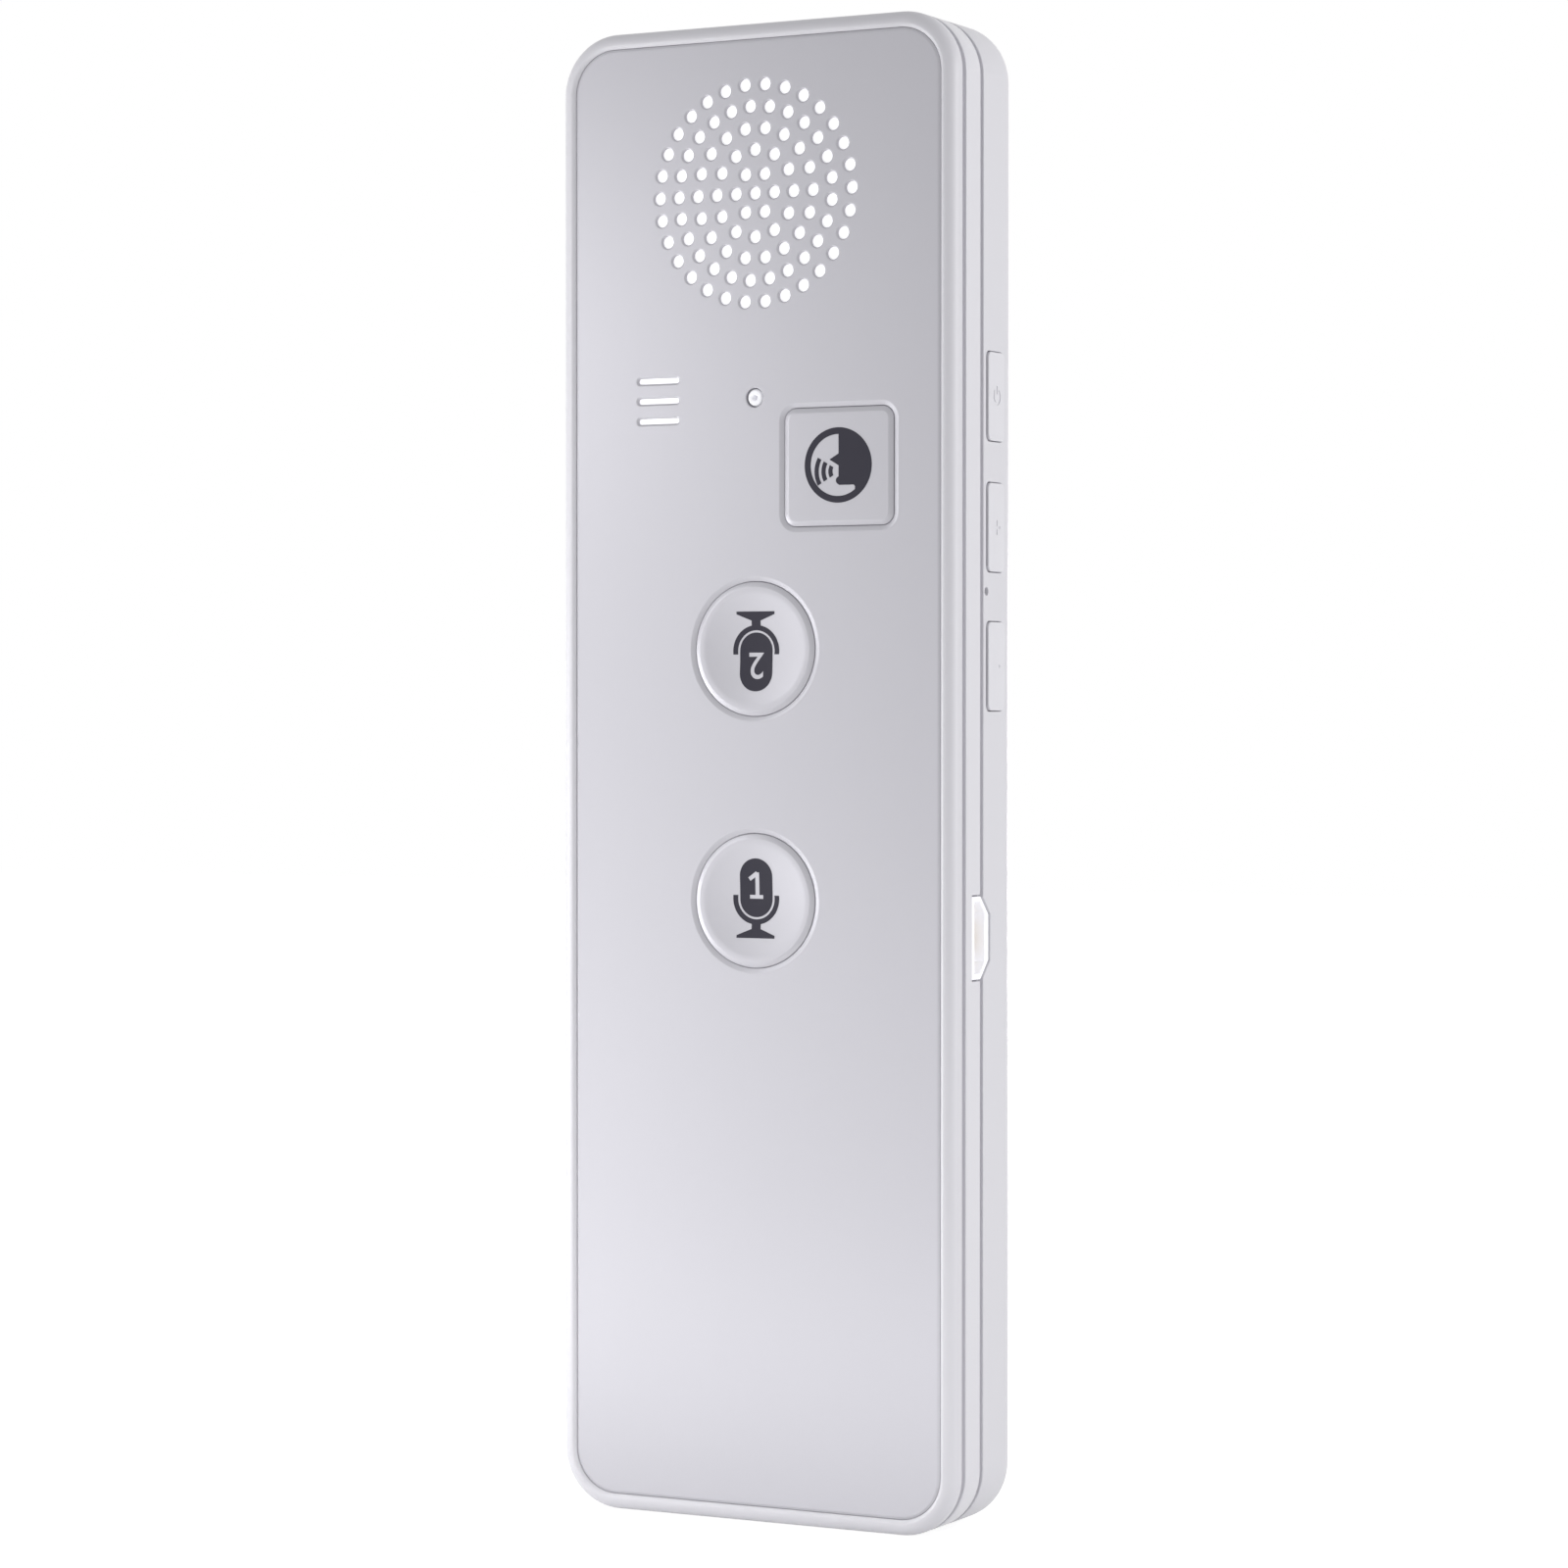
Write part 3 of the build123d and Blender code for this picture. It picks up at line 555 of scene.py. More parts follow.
# ---------------------------------------------------------------- sizes that several pieces share
@dataclass(frozen=True)
class Layers:
    """Depths of the layers of the case, and the openings that run through more than one of them."""

    rim_end: float = 1.8
    joint_one: float = 2.2
    band_start: float = 2.6
    band_end: float = 5.8
    joint_two: float = 6.15
    cover_start: float = 6.5
    inside_back: float = 12.5
    groove: float = 0.6
    edge_break: float = 0.12
    wall: float = 1.6
    fit_gap: float = 0.1
    lip_thickness: float = 0.8
    panel_front: float = 0.2
    panel_back: float = 0.5
    pocket_floor: float = 0.65
    # The lower and the upper round key.
    talk_heights: tuple[float, float] = (61.5, 86.35)
    talk_opening: float = 6.7
    speak_centre: tuple[float, float] = (9.3, 104.1)
    # Width, height and corner radius.
    speak_opening: tuple[float, float, float] = (12.1, 11.7, 1.3)
    sensor_z: float = 111.1
    slot_x: float = -10.9
    led_opening: float = 0.95
    grille_z: float = 131.2
    boss_x: float = 17.0
    boss_heights: tuple[float, float, float] = (6.2, 74.0, 141.8)
    boss_split: float = 3.4
    # The keys for power, volume up and volume down.
    side_key_heights: tuple[float, float, float] = (111.0, 98.2, 84.6)

    def bosses(self) -> list[tuple[float, float]]:
        """List the x and z of the screw bosses."""
        return [(side * self.boss_x, z) for z in self.boss_heights for side in (-1, 1)]

    def step_to_joint(self, piece: Workpiece, face: float, joint: float) -> None:
        """Break the edge of a layer's face, and carry the face on to the joint as the floor of a shadow groove.

        Args:
            piece: The layer.
            face: Depth of the face.
            joint: Depth of the joint that lies before or behind it.
        """
        piece.round_edges(edges_at(face), self.edge_break)
        with piece.faces(face_at(face)):
            inset(self.groove - self.edge_break)
            extrude(depth=joint - face)

    def key_tools(self, front: float, back: float, flared: bool = False, tighter: float = 0.0) -> list[Workpiece]:
        """Make the tools that cut the openings of the three front keys.

        Args:
            front: Depth where the openings start.
            back: Depth where the tools end.
            flared: Whether the openings get the same sloping edge as the keys, or a sharp one.
            tighter: How much closer than the drawn opening the tools come to the keys.

        Returns:
            Three cutting tools.
        """
        clear, grow = front - PAST, RIM_WIDTH * flared - tighter
        radius = self.talk_opening + grow
        tools = [disc("key_tool", (0.0, z), radius, (clear, front), sides=96) for z in self.talk_heights]
        width, height, corner = self.speak_opening
        x, z = self.speak_centre
        size = (width + 2 * grow, front - clear, height + 2 * grow)
        tools.append(block("key_tool", (x, (clear + front) / 2, z), size, corner + grow, segments=10))
        for tool in tools:
            sink(tool, front, back, RIM[::-1] if flared else ())
        return tools


# ---------------------------------------------------------------- the case
@dataclass
class FrontBezel:
    """The moulded front of the case: a rolled rim round a pocket for the panel."""

    outline: CaseOutline
    layers: Layers
    roll: float = 1.2
    roll_facets: int = 8
    pocket_edge: Profile = ((0.10, -0.02), (0.26, -0.20), (0.04, -0.06))
    speaker_opening: float = 11.4
    capsule_opening: float = 3.0
    boot_radius: float = 3.7
    collar: float = 0.7
    lip_reach: float = 2.0
    boss_radius: float = 2.1
    seat_radius: float = 1.55
    seat_depth: float = 1.45
    shank_radius: float = 0.9
    rib_size: tuple[float, float] = (28.0, 1.0)
    rib_heights: tuple[float, ...] = (16.0, 29.0, 42.0)
    rib_end: float = 5.4
    tool_before: float = 0.4
    tool_past: float = 0.1

    def build(self, shop: FinishShop) -> None:
        """Model the bezel and dress it."""
        layers = self.layers
        bezel = self.outline.slab("bezel_shell", 0.0, 0.0, layers.rim_end)
        bezel.round_edges(edges_at(0.0), self.roll, self.roll_facets)
        layers.step_to_joint(bezel, layers.rim_end, layers.joint_one)
        with bezel.faces(face_at(0.0)):
            step_in(self.pocket_edge)
            extrude(depth=layers.pocket_floor + total_rise(self.pocket_edge))
        self.add_lip(bezel)
        self.add_supports(bezel)
        self.open_floor(bezel)
        bezel.finish(shop, "case_white", HOUSING, ["front_bezel"])

    def add_lip(self, bezel: Workpiece) -> None:
        """Raise the lip that locates the bezel in the middle band."""
        layers = self.layers
        lip_margin = layers.wall + layers.fit_gap
        with bezel.faces(face_at(layers.joint_one)):
            inset(lip_margin - layers.groove)
            inset(layers.lip_thickness)
        with bezel.faces(
            lambda centre, normal: face_at(layers.joint_one)(centre, normal)
            and lip_margin < self.outline.margin_of(centre) < lip_margin + layers.lip_thickness
        ):
            extrude(depth=self.lip_reach)

    def add_supports(self, bezel: Workpiece) -> None:
        """Add the bosses, the collar of the microphone and the ribs over the battery."""
        layers = self.layers
        start = layers.joint_one - SUNK
        supports = [disc("boss", spot, self.boss_radius, (start, layers.boss_split)) for spot in layers.bosses()]
        spot = (layers.slot_x, layers.sensor_z)
        radii = (self.boot_radius + self.collar, self.boot_radius)
        collar = tube("collar", spot, radii, (start, layers.joint_one + self.lip_reach))
        length, thickness = self.rib_size
        middle, height = (start + self.rib_end) / 2, self.rib_end - start
        ribs = [block("rib", (0.0, middle, z), (length, height, thickness)) for z in self.rib_heights]
        bezel.add(*supports, collar, *ribs)

    def open_floor(self, bezel: Workpiece) -> None:
        """Cut the openings through the floor of the pocket and seat the screws."""
        layers = self.layers
        front, back = layers.pocket_floor - self.tool_before, layers.joint_one + self.tool_past
        tools = layers.key_tools(front, back)
        tools.append(disc("speaker_tool", (0.0, layers.grille_z), self.speaker_opening, (front, back), sides=96))
        tools.append(disc("capsule_tool", (layers.slot_x, layers.sensor_z), self.capsule_opening, (front, back)))
        tools.append(disc("led_tool", (0.0, layers.sensor_z), layers.led_opening, (front, back)))
        bezel.cut(*tools)
        through = layers.boss_split + PAST
        for name, radius, end in (("seat", self.seat_radius, self.seat_depth), ("hole", self.shank_radius, through)):
            bezel.cut(*[disc(name, spot, radius, (front, end)) for spot in layers.bosses()])


@dataclass
class FrontPanel:
    """The thin metal panel with the speaker grille, the microphone slots and the key openings."""

    outline: CaseOutline
    layers: Layers
    margin: float = 1.63
    edge: Profile = ((0.03, 0.04), (0.22, 0.07), (0.05, 0.008))
    hole_radius: float = 0.62
    hole_edge: Profile = ((0.02, 0.005), (0.12, 0.09), (0.01, 0.035))
    hole_sides: int = 24
    ring_pitch: float = 2.144
    rings: tuple[int, ...] = (1, 6, 12, 18, 25, 30)
    turned_ring: int = 4
    slot_size: tuple[float, float] = (4.6, 0.54)
    slot_edge: Profile = ((0.02, 0.005), (0.18, 0.14), (0.01, 0.035))
    slot_pitch: float = 2.0
    led_lip: float = 0.1
    led_sides: int = 40
    key_tighter: float = 0.04
    tool_before: float = 0.5
    tool_past: float = 0.3

    @property
    def cut_depths(self) -> tuple[float, float]:
        """Depth of the panel's front, and where the tools end that cut through it."""
        return self.layers.panel_front, self.layers.panel_back + self.tool_past

    def build(self, shop: FinishShop) -> None:
        """Model the panel and dress it."""
        layers = self.layers
        edge_back = layers.panel_front + total_rise(self.edge)
        panel = self.outline.slab("panel_sheet", self.margin, edge_back, layers.panel_back)
        with panel.faces(face_at(edge_back)):
            step_in(self.edge)
        tools = self.grille_tools() + self.slot_tools() + [self.led_tool()]
        tools += layers.key_tools(*self.cut_depths, flared=True, tighter=self.key_tighter)
        panel.cut(*tools)
        panel.finish(shop, "panel_metal", HOUSING, ["front_panel"])

    def hole_places(self) -> Iterator[tuple[float, float]]:
        """Walk round the rings of the grille from the middle out.

        Yields:
            The x and z of each hole.
        """
        for ring, count in enumerate(self.rings):
            turn = math.pi / count if ring == self.turned_ring else 0.0
            for index in range(count):
                angle = 2 * math.pi * index / count + turn
                reach = ring * self.ring_pitch
                yield reach * math.cos(angle), self.layers.grille_z + reach * math.sin(angle)

    def grille_tools(self) -> list[Workpiece]:
        """Model one flared drill and copy it to every hole of the grille."""
        front, back = self.cut_depths
        radius = self.hole_radius + total_width(self.hole_edge)
        drill = disc("drill", (0.0, 0.0), radius, (front - self.tool_before, front), sides=self.hole_sides)
        sink(drill, front, back, self.hole_edge)
        drills = [drill.moved_copy("drill", x=x, z=z) for x, z in self.hole_places()]
        drill.discard()
        return drills

    def slot_tools(self) -> list[Workpiece]:
        """Model one slot cutter and copy it up and down."""
        front, back = self.cut_depths
        length, width = (side + 2 * total_width(self.slot_edge) for side in self.slot_size)
        centre = (self.layers.slot_x, front - self.tool_before / 2, self.layers.sensor_z)
        cutter = block("slot", centre, (length, self.tool_before, width), width / 2 - ROUND_END)
        sink(cutter, front, back, self.slot_edge)
        return [cutter] + [cutter.moved_copy("slot", z=side * self.slot_pitch) for side in (-1, 1)]

    def led_tool(self) -> Workpiece:
        """Make the drill for the status light."""
        front, back = self.cut_depths
        radius, ends = self.layers.led_opening + self.led_lip, (front - self.tool_before, front)
        tool = disc("led_tool", (0.0, self.layers.sensor_z), radius, ends, sides=self.led_sides)
        sink(tool, front, back, rounded(self.led_lip))
        return tool


@dataclass
class ChargingPort:
    """The opening for the charging plug, on the right side across the second groove, and its flared shell."""

    depth: float = 6.05
    z: float = 58.1
    size: tuple[float, float] = (4.1, 8.4)
    corner_cut: float = 1.9
    inner_end: float = 18.0
    opening_lip: float = 0.12
    mouth: float = 21.85
    flange_inset: float = 0.15
    flange_thickness: float = 0.3
    flange_round: float = 0.06
    shell_size: tuple[float, float] = (2.9, 7.5)
    shell_cut: float = 1.2
    shell_wall: float = 0.25
    shell_length: float = 5.0
    shell_sunk: float = 0.1
    mouth_lip: float = 0.16

    def profile(self, name: str, size: tuple[float, float], cut: float, ends: tuple[float, float]) -> Workpiece:
        """Make a bar with the port's outline: a rectangle with its two back corners cut off.

        Args:
            name: Name of the piece.
            size: Extent in depth and in height.
            cut: Length of the cut corners.
            ends: x where the bar starts and ends.

        Returns:
            The new piece.
        """
        thick, tall = size
        middle = ((ends[0] + ends[1]) / 2, self.depth, self.z)
        bar = block(name, middle, (ends[1] - ends[0], thick, tall))
        back = self.depth + thick / 2
        with bar.edges(
            lambda start, end: abs(start.y - back) < NEAR and abs(end.y - back) < NEAR and abs(start.z - end.z) < NEAR
        ):
            bevel(cut, 1)
        return bar

    def opening_tool(self) -> Workpiece:
        """Make the tool that cuts the opening into the band and the cover."""
        grown = tuple(side + 2 * self.opening_lip for side in self.size)
        cut = self.corner_cut + 2 * self.opening_lip * (1 - math.sqrt(0.5))
        tool = self.profile("port_tool", grown, cut, (SIDE_FACE, SIDE_FACE + PAST))
        sink(tool, SIDE_FACE, self.inner_end, rounded(self.opening_lip, 2), Along.SIDEWAYS)
        return tool

    def build(self, shop: FinishShop) -> None:
        """Model the plated shell with its flared mouth and dress it."""
        back_end = self.mouth - self.shell_length
        shell = self.profile("port_sleeve", self.shell_size, self.shell_cut, (back_end, self.mouth - self.shell_sunk))
        flange_size = tuple(side - 2 * self.flange_inset for side in self.size)
        flange_cut = self.corner_cut - self.flange_inset / 2
        flange_ends = (self.mouth - self.flange_thickness, self.mouth)
        flange = self.profile("port_flange", flange_size, flange_cut, flange_ends)
        flange.round_edges(edges_at(self.mouth, Along.SIDEWAYS), self.flange_round, 2)
        shell.add(flange)
        grown = tuple(side - 2 * self.shell_wall + 2 * self.mouth_lip for side in self.shell_size)
        cavity = self.profile("cavity", grown, self.shell_cut, (self.mouth, self.mouth + PAST))
        sink(cavity, self.mouth, back_end + self.shell_wall, rounded(self.mouth_lip), Along.SIDEWAYS)
        shell.cut(cavity)
        # Its finish glows: painted light inside the port.
        shell.finish(shop, "port_steel", HOUSING, ["port_shell"])


@dataclass
class MiddleBand:
    """The narrow frame between the two grooves."""

    outline: CaseOutline
    layers: Layers
    port: ChargingPort

    def build(self, shop: FinishShop) -> None:
        """Model the band and dress it."""
        layers = self.layers
        band = self.outline.slab("middle_band", 0.0, layers.band_start, layers.band_end)
        layers.step_to_joint(band, layers.band_start, layers.joint_one)
        layers.step_to_joint(band, layers.band_end, layers.joint_two)
        self.outline.open_through(band, layers.groove, layers.wall, layers.joint_one, layers.joint_two)
        band.cut(self.port.opening_tool())
        band.finish(shop, "band_white", HOUSING, ["mid_frame"])


@dataclass
class BackCover:
    """The deep back half of the case, with the windows of the side keys."""

    outline: CaseOutline
    layers: Layers
    port: ChargingPort
    back_round: float = 2.4
    back_facets: int = 10
    inside_round: float = 1.2
    inside_facets: int = 4
    lip_ends: tuple[float, float] = (4.25, 6.95)
    root_sunk: float = 0.1
    root_reach: float = 0.3
    root_back: float = 6.9
    boss_radius: float = 2.1
    shoulder_radius: float = 3.0
    board_back: float = 8.3
    board_bottom: float = 50.5
    screw_radius: float = 0.8
    screw_end: float = 9.0
    post_places: tuple[tuple[float, float], ...] = ((-15.0, 53.8), (9.5, 53.8))
    post_radius: float = 1.6
    post_bore: float = 0.6
    post_bore_end: float = 10.8
    window_depth: float = 9.03
    # Depth, height and corner radius.
    window_size: tuple[float, float, float] = (3.86, 8.82, 0.7)
    window_lip: float = 0.12
    window_past: float = 1.4
    # Depth and height of its middle, and its radius.
    pinhole: tuple[float, float, float] = (7.2, 91.9, 0.4)
    pinhole_lip: float = 0.1

    def build(self, shop: FinishShop) -> None:
        """Model the cover and dress it."""
        layers = self.layers
        cover = self.outline.slab("rear_shell", 0.0, layers.cover_start, CASE_DEPTH)
        cover.round_edges(edges_at(CASE_DEPTH), self.back_round, self.back_facets)
        layers.step_to_joint(cover, layers.cover_start, layers.joint_two)
        hollow = self.outline.slab("hollow", layers.wall, layers.joint_two - PAST, layers.inside_back)
        hollow.round_edges(edges_at(layers.inside_back), self.inside_round, self.inside_facets)
        cover.cut(hollow)
        self.add_supports(cover)
        self.open_side(cover)
        cover.finish(shop, "case_white", HOUSING, ["back_cover"])

    def add_supports(self, cover: Workpiece) -> None:
        """Add the locating lip, the bosses and the posts of the board."""
        layers = self.layers
        lip_outer = layers.wall + layers.fit_gap
        lip_inner = lip_outer + layers.lip_thickness
        foot = layers.inside_back + SUNK
        root_inner, root_front = lip_outer + self.root_reach, layers.joint_two + self.root_sunk
        cover.add(self.outline.ring("lip", lip_outer, lip_inner, *self.lip_ends))
        cover.add(self.outline.ring("lip_root", layers.wall - self.root_sunk, root_inner, root_front, self.root_back))
        spots = layers.bosses()
        high = [spot for spot in spots if spot[1] > self.board_bottom]
        for name, places, radius, start in (
            ("boss", spots, self.boss_radius, layers.boss_split),
            ("shoulder", high, self.shoulder_radius, self.board_back),
            ("post", self.post_places, self.post_radius, self.board_back),
        ):
            cover.add(*[disc(name, spot, radius, (start, foot)) for spot in places])
        bores = (
            (spots, self.screw_radius, (layers.boss_split - PAST, self.screw_end)),
            (self.post_places, self.post_bore, (self.board_back - PAST, self.post_bore_end)),
        )
        cover.cut(*[disc("bore", spot, radius, ends) for places, radius, ends in bores for spot in places])

    def open_side(self, cover: Workpiece) -> None:
        """Cut the windows of the side keys, the reset pinhole and the port."""
        thick, tall, corner = self.window_size
        lip, inner = self.window_lip, SIDE_FACE - self.layers.wall - self.window_past
        size = (PAST, thick + 2 * lip, tall + 2 * lip)
        tools = []
        for z in self.layers.side_key_heights:
            centre = (SIDE_FACE + PAST / 2, self.window_depth, z)
            tool = block("window", centre, size, corner + lip, Along.SIDEWAYS, segments=6)
            sink(tool, SIDE_FACE, inner, rounded(lip, 2), Along.SIDEWAYS)
            tools.append(tool)
        depth, z, radius = self.pinhole
        ends = (SIDE_FACE, SIDE_FACE + PAST)
        pin = disc("pinhole", (depth, z), radius + self.pinhole_lip, ends, Along.SIDEWAYS, sides=24)
        sink(pin, SIDE_FACE, inner, rounded(self.pinhole_lip, 2), Along.SIDEWAYS)
        cover.cut(*tools, pin)
        cover.cut(self.port.opening_tool())


# ---------------------------------------------------------------- keys and their marks
@dataclass(frozen=True)
class Ink:
    """A printed mark: a thin film of paint cut out of a key's own face."""

    thickness: float = 0.02
    slot: str = "key_ink"

    def print_on(self, key: Workpiece, stencil: Workpiece, name: str, reach: float) -> Workpiece:
        """Lift a film off the front of a key and keep what a stencil covers.

        Args:
            key: The key, before it is finished.
            stencil: A solid that passes through the face where there is paint.
            name: Name of the film.
            reach: Depth down to which the key's front faces belong to the film.

        Returns:
            The film, which follows the key's face.
        """
        film = key.copy(name)
        with film.faces(lambda centre, normal: not (centre.y < reach and normal.y < -FACING)):
            bpy.ops.mesh.delete(type="FACE")
        film.activate()
        body = film.thing.modifiers.new("film", "SOLIDIFY")
        body.thickness, body.offset = self.thickness * MM, 1.0
        bpy.ops.object.modifier_apply(modifier=body.name)
        film.combine(Join.COMMON, [stencil])
        return film


@dataclass(frozen=True)
class FrontKeyForm:
    """What the keys of the front share: the depths of their face and flange, and how they get their sign."""

    face: float = 0.15
    flange: tuple[float, float] = (2.45, 3.2)
    slot: str = "key_silver"
    ink: Ink = field(default_factory=Ink)

    @property
    def rim_end(self) -> float:
        """Depth where the sloping rim ends."""
        return self.face + RIM_DEPTH

    def add_flange(self, key: Workpiece, middle: tuple[float, float], grow: Sequence[float]) -> None:
        """Widen the back of a key to the flange that keeps it in the case.

        Args:
            key: The key, which ends at the front of the flange.
            middle: x and z of its middle.
            grow: How many times wider and higher the flange is than the key.
        """
        (x, z), (front, back) = middle, self.flange
        with key.faces(face_at(front)):
            extrude()
            bpy.ops.transform.resize(value=(grow[0], 1, grow[1]), center_override=place(x, front, z))
            extrude(depth=back - front)

    def dress(self, shop: FinishShop, key: Workpiece, stencil: Workpiece, body: str, dish: float = 0.0) -> None:
        """Print the sign on a key and dress both.

        Args:
            shop: Where the finishes come from.
            key: The key.
            stencil: The solid that its sign is cut with, half way through the case.
            body: The moving body of the key.
            dish: How far the key's face is hollowed.
        """
        stencil.move(depth=self.face - CASE_DEPTH / 2)
        sign = self.ink.print_on(key, stencil, f"{body}_sign", self.face + dish + NEAR)
        sign.finish(shop, self.slot, body)
        sign.thing.data.materials[0] = shop.material(self.ink.slot)
        key.finish(shop, self.slot, body, [body])


@dataclass(frozen=True)
class MicrophoneMark:
    """A generic microphone sign with a numeral in its head, drawn round the middle of a key."""

    head: tuple[float, float] = (3.62, 5.81)
    head_z: float = 1.28
    cradle_radius: float = 2.57
    cradle_z: float = 0.21
    cradle_top: float = 0.54
    cradle_trim: tuple[float, float] = (8.0, 6.0)
    stroke: float = 0.52
    stem: tuple[float, float] = (1.0, 0.9)
    foot: tuple[float, float] = (4.25, 0.27)
    foot_bottom: float = -3.7
    foot_rise: float = 0.62
    foot_neck: float = 1.1
    numeral_size: float = 3.7
    numeral_bolder: float = 0.03
    numeral_facets: int = 6
    numeral_z: float = 1.5
    # For each block: x, z, width, height, how many times thicker it is than the sign, and its turn.
    figure_one: tuple[tuple[float, float, float, float, float, float], ...] = (
        (0.1, 0.0, 0.46, 2.6, 1.2, 0.0),
        (0.0, -1.12, 1.5, 0.38, 1.3, 0.0),
        (-0.33, 0.93, 1.1, 0.42, 1.4, -0.62),
    )
    thick: float = 2.0
    thinner: float = 0.2

    def stencil(self, numeral: str, upside_down: bool, z: float) -> Workpiece:
        """Make the solid that the sign is cut with.

        Args:
            numeral: The figure shown in the microphone's head.
            upside_down: Whether the sign faces a person on the other side of the device.
            z: Height of the key.

        Returns:
            The stencil at the key.
        """
        middle = CASE_DEPTH / 2
        ends = (middle - self.thick / 2, middle + self.thick / 2)
        width, height = self.head
        size, corner = (width, self.thick, height), width / 2 - ROUND_END
        sign = block("sign", (0, middle, self.head_z), size, corner, segments=14)
        sign.cut(self.figure_of_blocks() if numeral == "1" else self.figure_of_text(numeral))
        radii = (self.cradle_radius, self.cradle_radius - self.stroke)
        cradle = tube("cradle", (0, self.cradle_z), radii, ends, sides=64)
        trim_width, trim_height = self.cradle_trim
        trim_centre = (0, middle, self.cradle_top + trim_height / 2)
        cradle.cut(block("cradle_top", trim_centre, (trim_width, self.thick + PAST, trim_height)))
        stem_width, stem_height = self.stem
        stem_z = self.cradle_z - self.cradle_radius + self.stroke / 2 - stem_height / 2
        cradle.add(block("stem", (0, middle, stem_z), (stem_width, self.thick - self.thinner, stem_height)))
        cradle.add(self.base(middle))
        sign.gather([cradle])
        turn = (0, math.pi if upside_down else 0, 0)
        sign.turn_and_move(turn, Vector((0, 0, z)) * MM)
        return sign

    def base(self, middle: float) -> Workpiece:
        """Make the foot of the sign, which narrows upwards."""
        width, height = self.foot
        top = self.foot_bottom + height
        size = (width, self.thick - 2 * self.thinner, height)
        foot = block("foot", (0, middle, self.foot_bottom + height / 2), size)
        with foot.faces(lambda centre, normal: normal.z > FACING and abs(centre.z - top) < NEAR):
            extrude(z=self.foot_rise)
            narrow = self.foot_neck / width
            bpy.ops.transform.resize(value=(narrow, 1, 1), center_override=place(0, middle, top))
        return foot

    def figure_of_text(self, figure: str) -> Workpiece:
        """Make a figure as a solid that cuts it out of the head.

        Args:
            figure: A single digit.

        Returns:
            The figure, through the head of the sign.
        """
        bpy.ops.object.text_add()
        words = bpy.context.object.data
        words.body, words.size, words.extrude = figure, self.numeral_size * MM, self.thick * MM
        words.offset, words.resolution_u = self.numeral_bolder * MM, self.numeral_facets
        words.align_x = words.align_y = "CENTER"
        bpy.ops.object.convert(target="MESH")
        solid = Workpiece(bpy.context.object, "figure")
        solid.clean()
        solid.turn_and_move((math.pi / 2, 0, 0), place(0, CASE_DEPTH / 2, self.numeral_z))
        return solid

    def figure_of_blocks(self) -> Workpiece:
        """Make the figure one from a stem, a foot and a flag, each of its own thickness."""
        parts = []
        for x, z, width, height, excess, turn in self.figure_one:
            part = block("figure", (0, CASE_DEPTH / 2, 0), (width, self.thick * excess, height))
            part.turn_and_move((0, turn, 0), Vector((x, 0, self.numeral_z + z)) * MM)
            parts.append(part)
        stem, *others = parts
        for other in others:
            stem.add(other)
        return stem


@dataclass
class TalkKey:
    """One of the two round keys, dished for a thumb, with its microphone sign."""

    body: str
    numeral: str
    upside_down: bool
    z: float
    radius: float = 6.64
    rim_land: float = 0.15
    dish: float = 0.5
    flange_radius: float = 7.73
    sides: int = 96
    dish_steps: int = 12
    form: FrontKeyForm = field(default_factory=FrontKeyForm)
    mark: MicrophoneMark = field(default_factory=MicrophoneMark)

    def build(self, shop: FinishShop) -> None:
        """Model the key and its sign and dress both."""
        form = self.form
        ends = (form.rim_end, form.flange[0])
        key = disc(f"{self.body}_cap", (0.0, self.z), self.radius, ends, sides=self.sides)
        with key.faces(face_at(form.rim_end)):
            step_in(RIM)
        self.hollow_face(key)
        grow = self.flange_radius / self.radius
        form.add_flange(key, (0.0, self.z), (grow, grow))
        stencil = self.mark.stencil(self.numeral, self.upside_down, self.z)
        form.dress(shop, key, stencil, self.body, self.dish)

    def hollow_face(self, key: Workpiece) -> None:
        """Sink the face ring by ring to a shallow sphere."""
        rim = self.radius - RIM_WIDTH - self.rim_land
        with key.faces(face_at(self.form.face)):
            inset(self.rim_land)
            for step in range(self.dish_steps):
                near = rim * (1 - step / self.dish_steps)
                far = rim * (1 - (step + 1) / self.dish_steps)
                fall = self.dish * (near**2 - far**2) / rim**2
                if step < self.dish_steps - 1:
                    inset(near - far, -fall)
                else:
                    inset((near - far) / 2, -fall)
                    bpy.ops.mesh.poke()


@dataclass(frozen=True)
class RoundedBar:
    """A short bar of a sign, with rounded ends."""

    middle: tuple[float, float]
    size: tuple[float, float, float]
    radius: float

    def build(self, name: str) -> Workpiece:
        """Make the bar half way through the case."""
        x, z = self.middle
        return block(name, (x, CASE_DEPTH / 2, z), self.size, self.radius, segments=4)


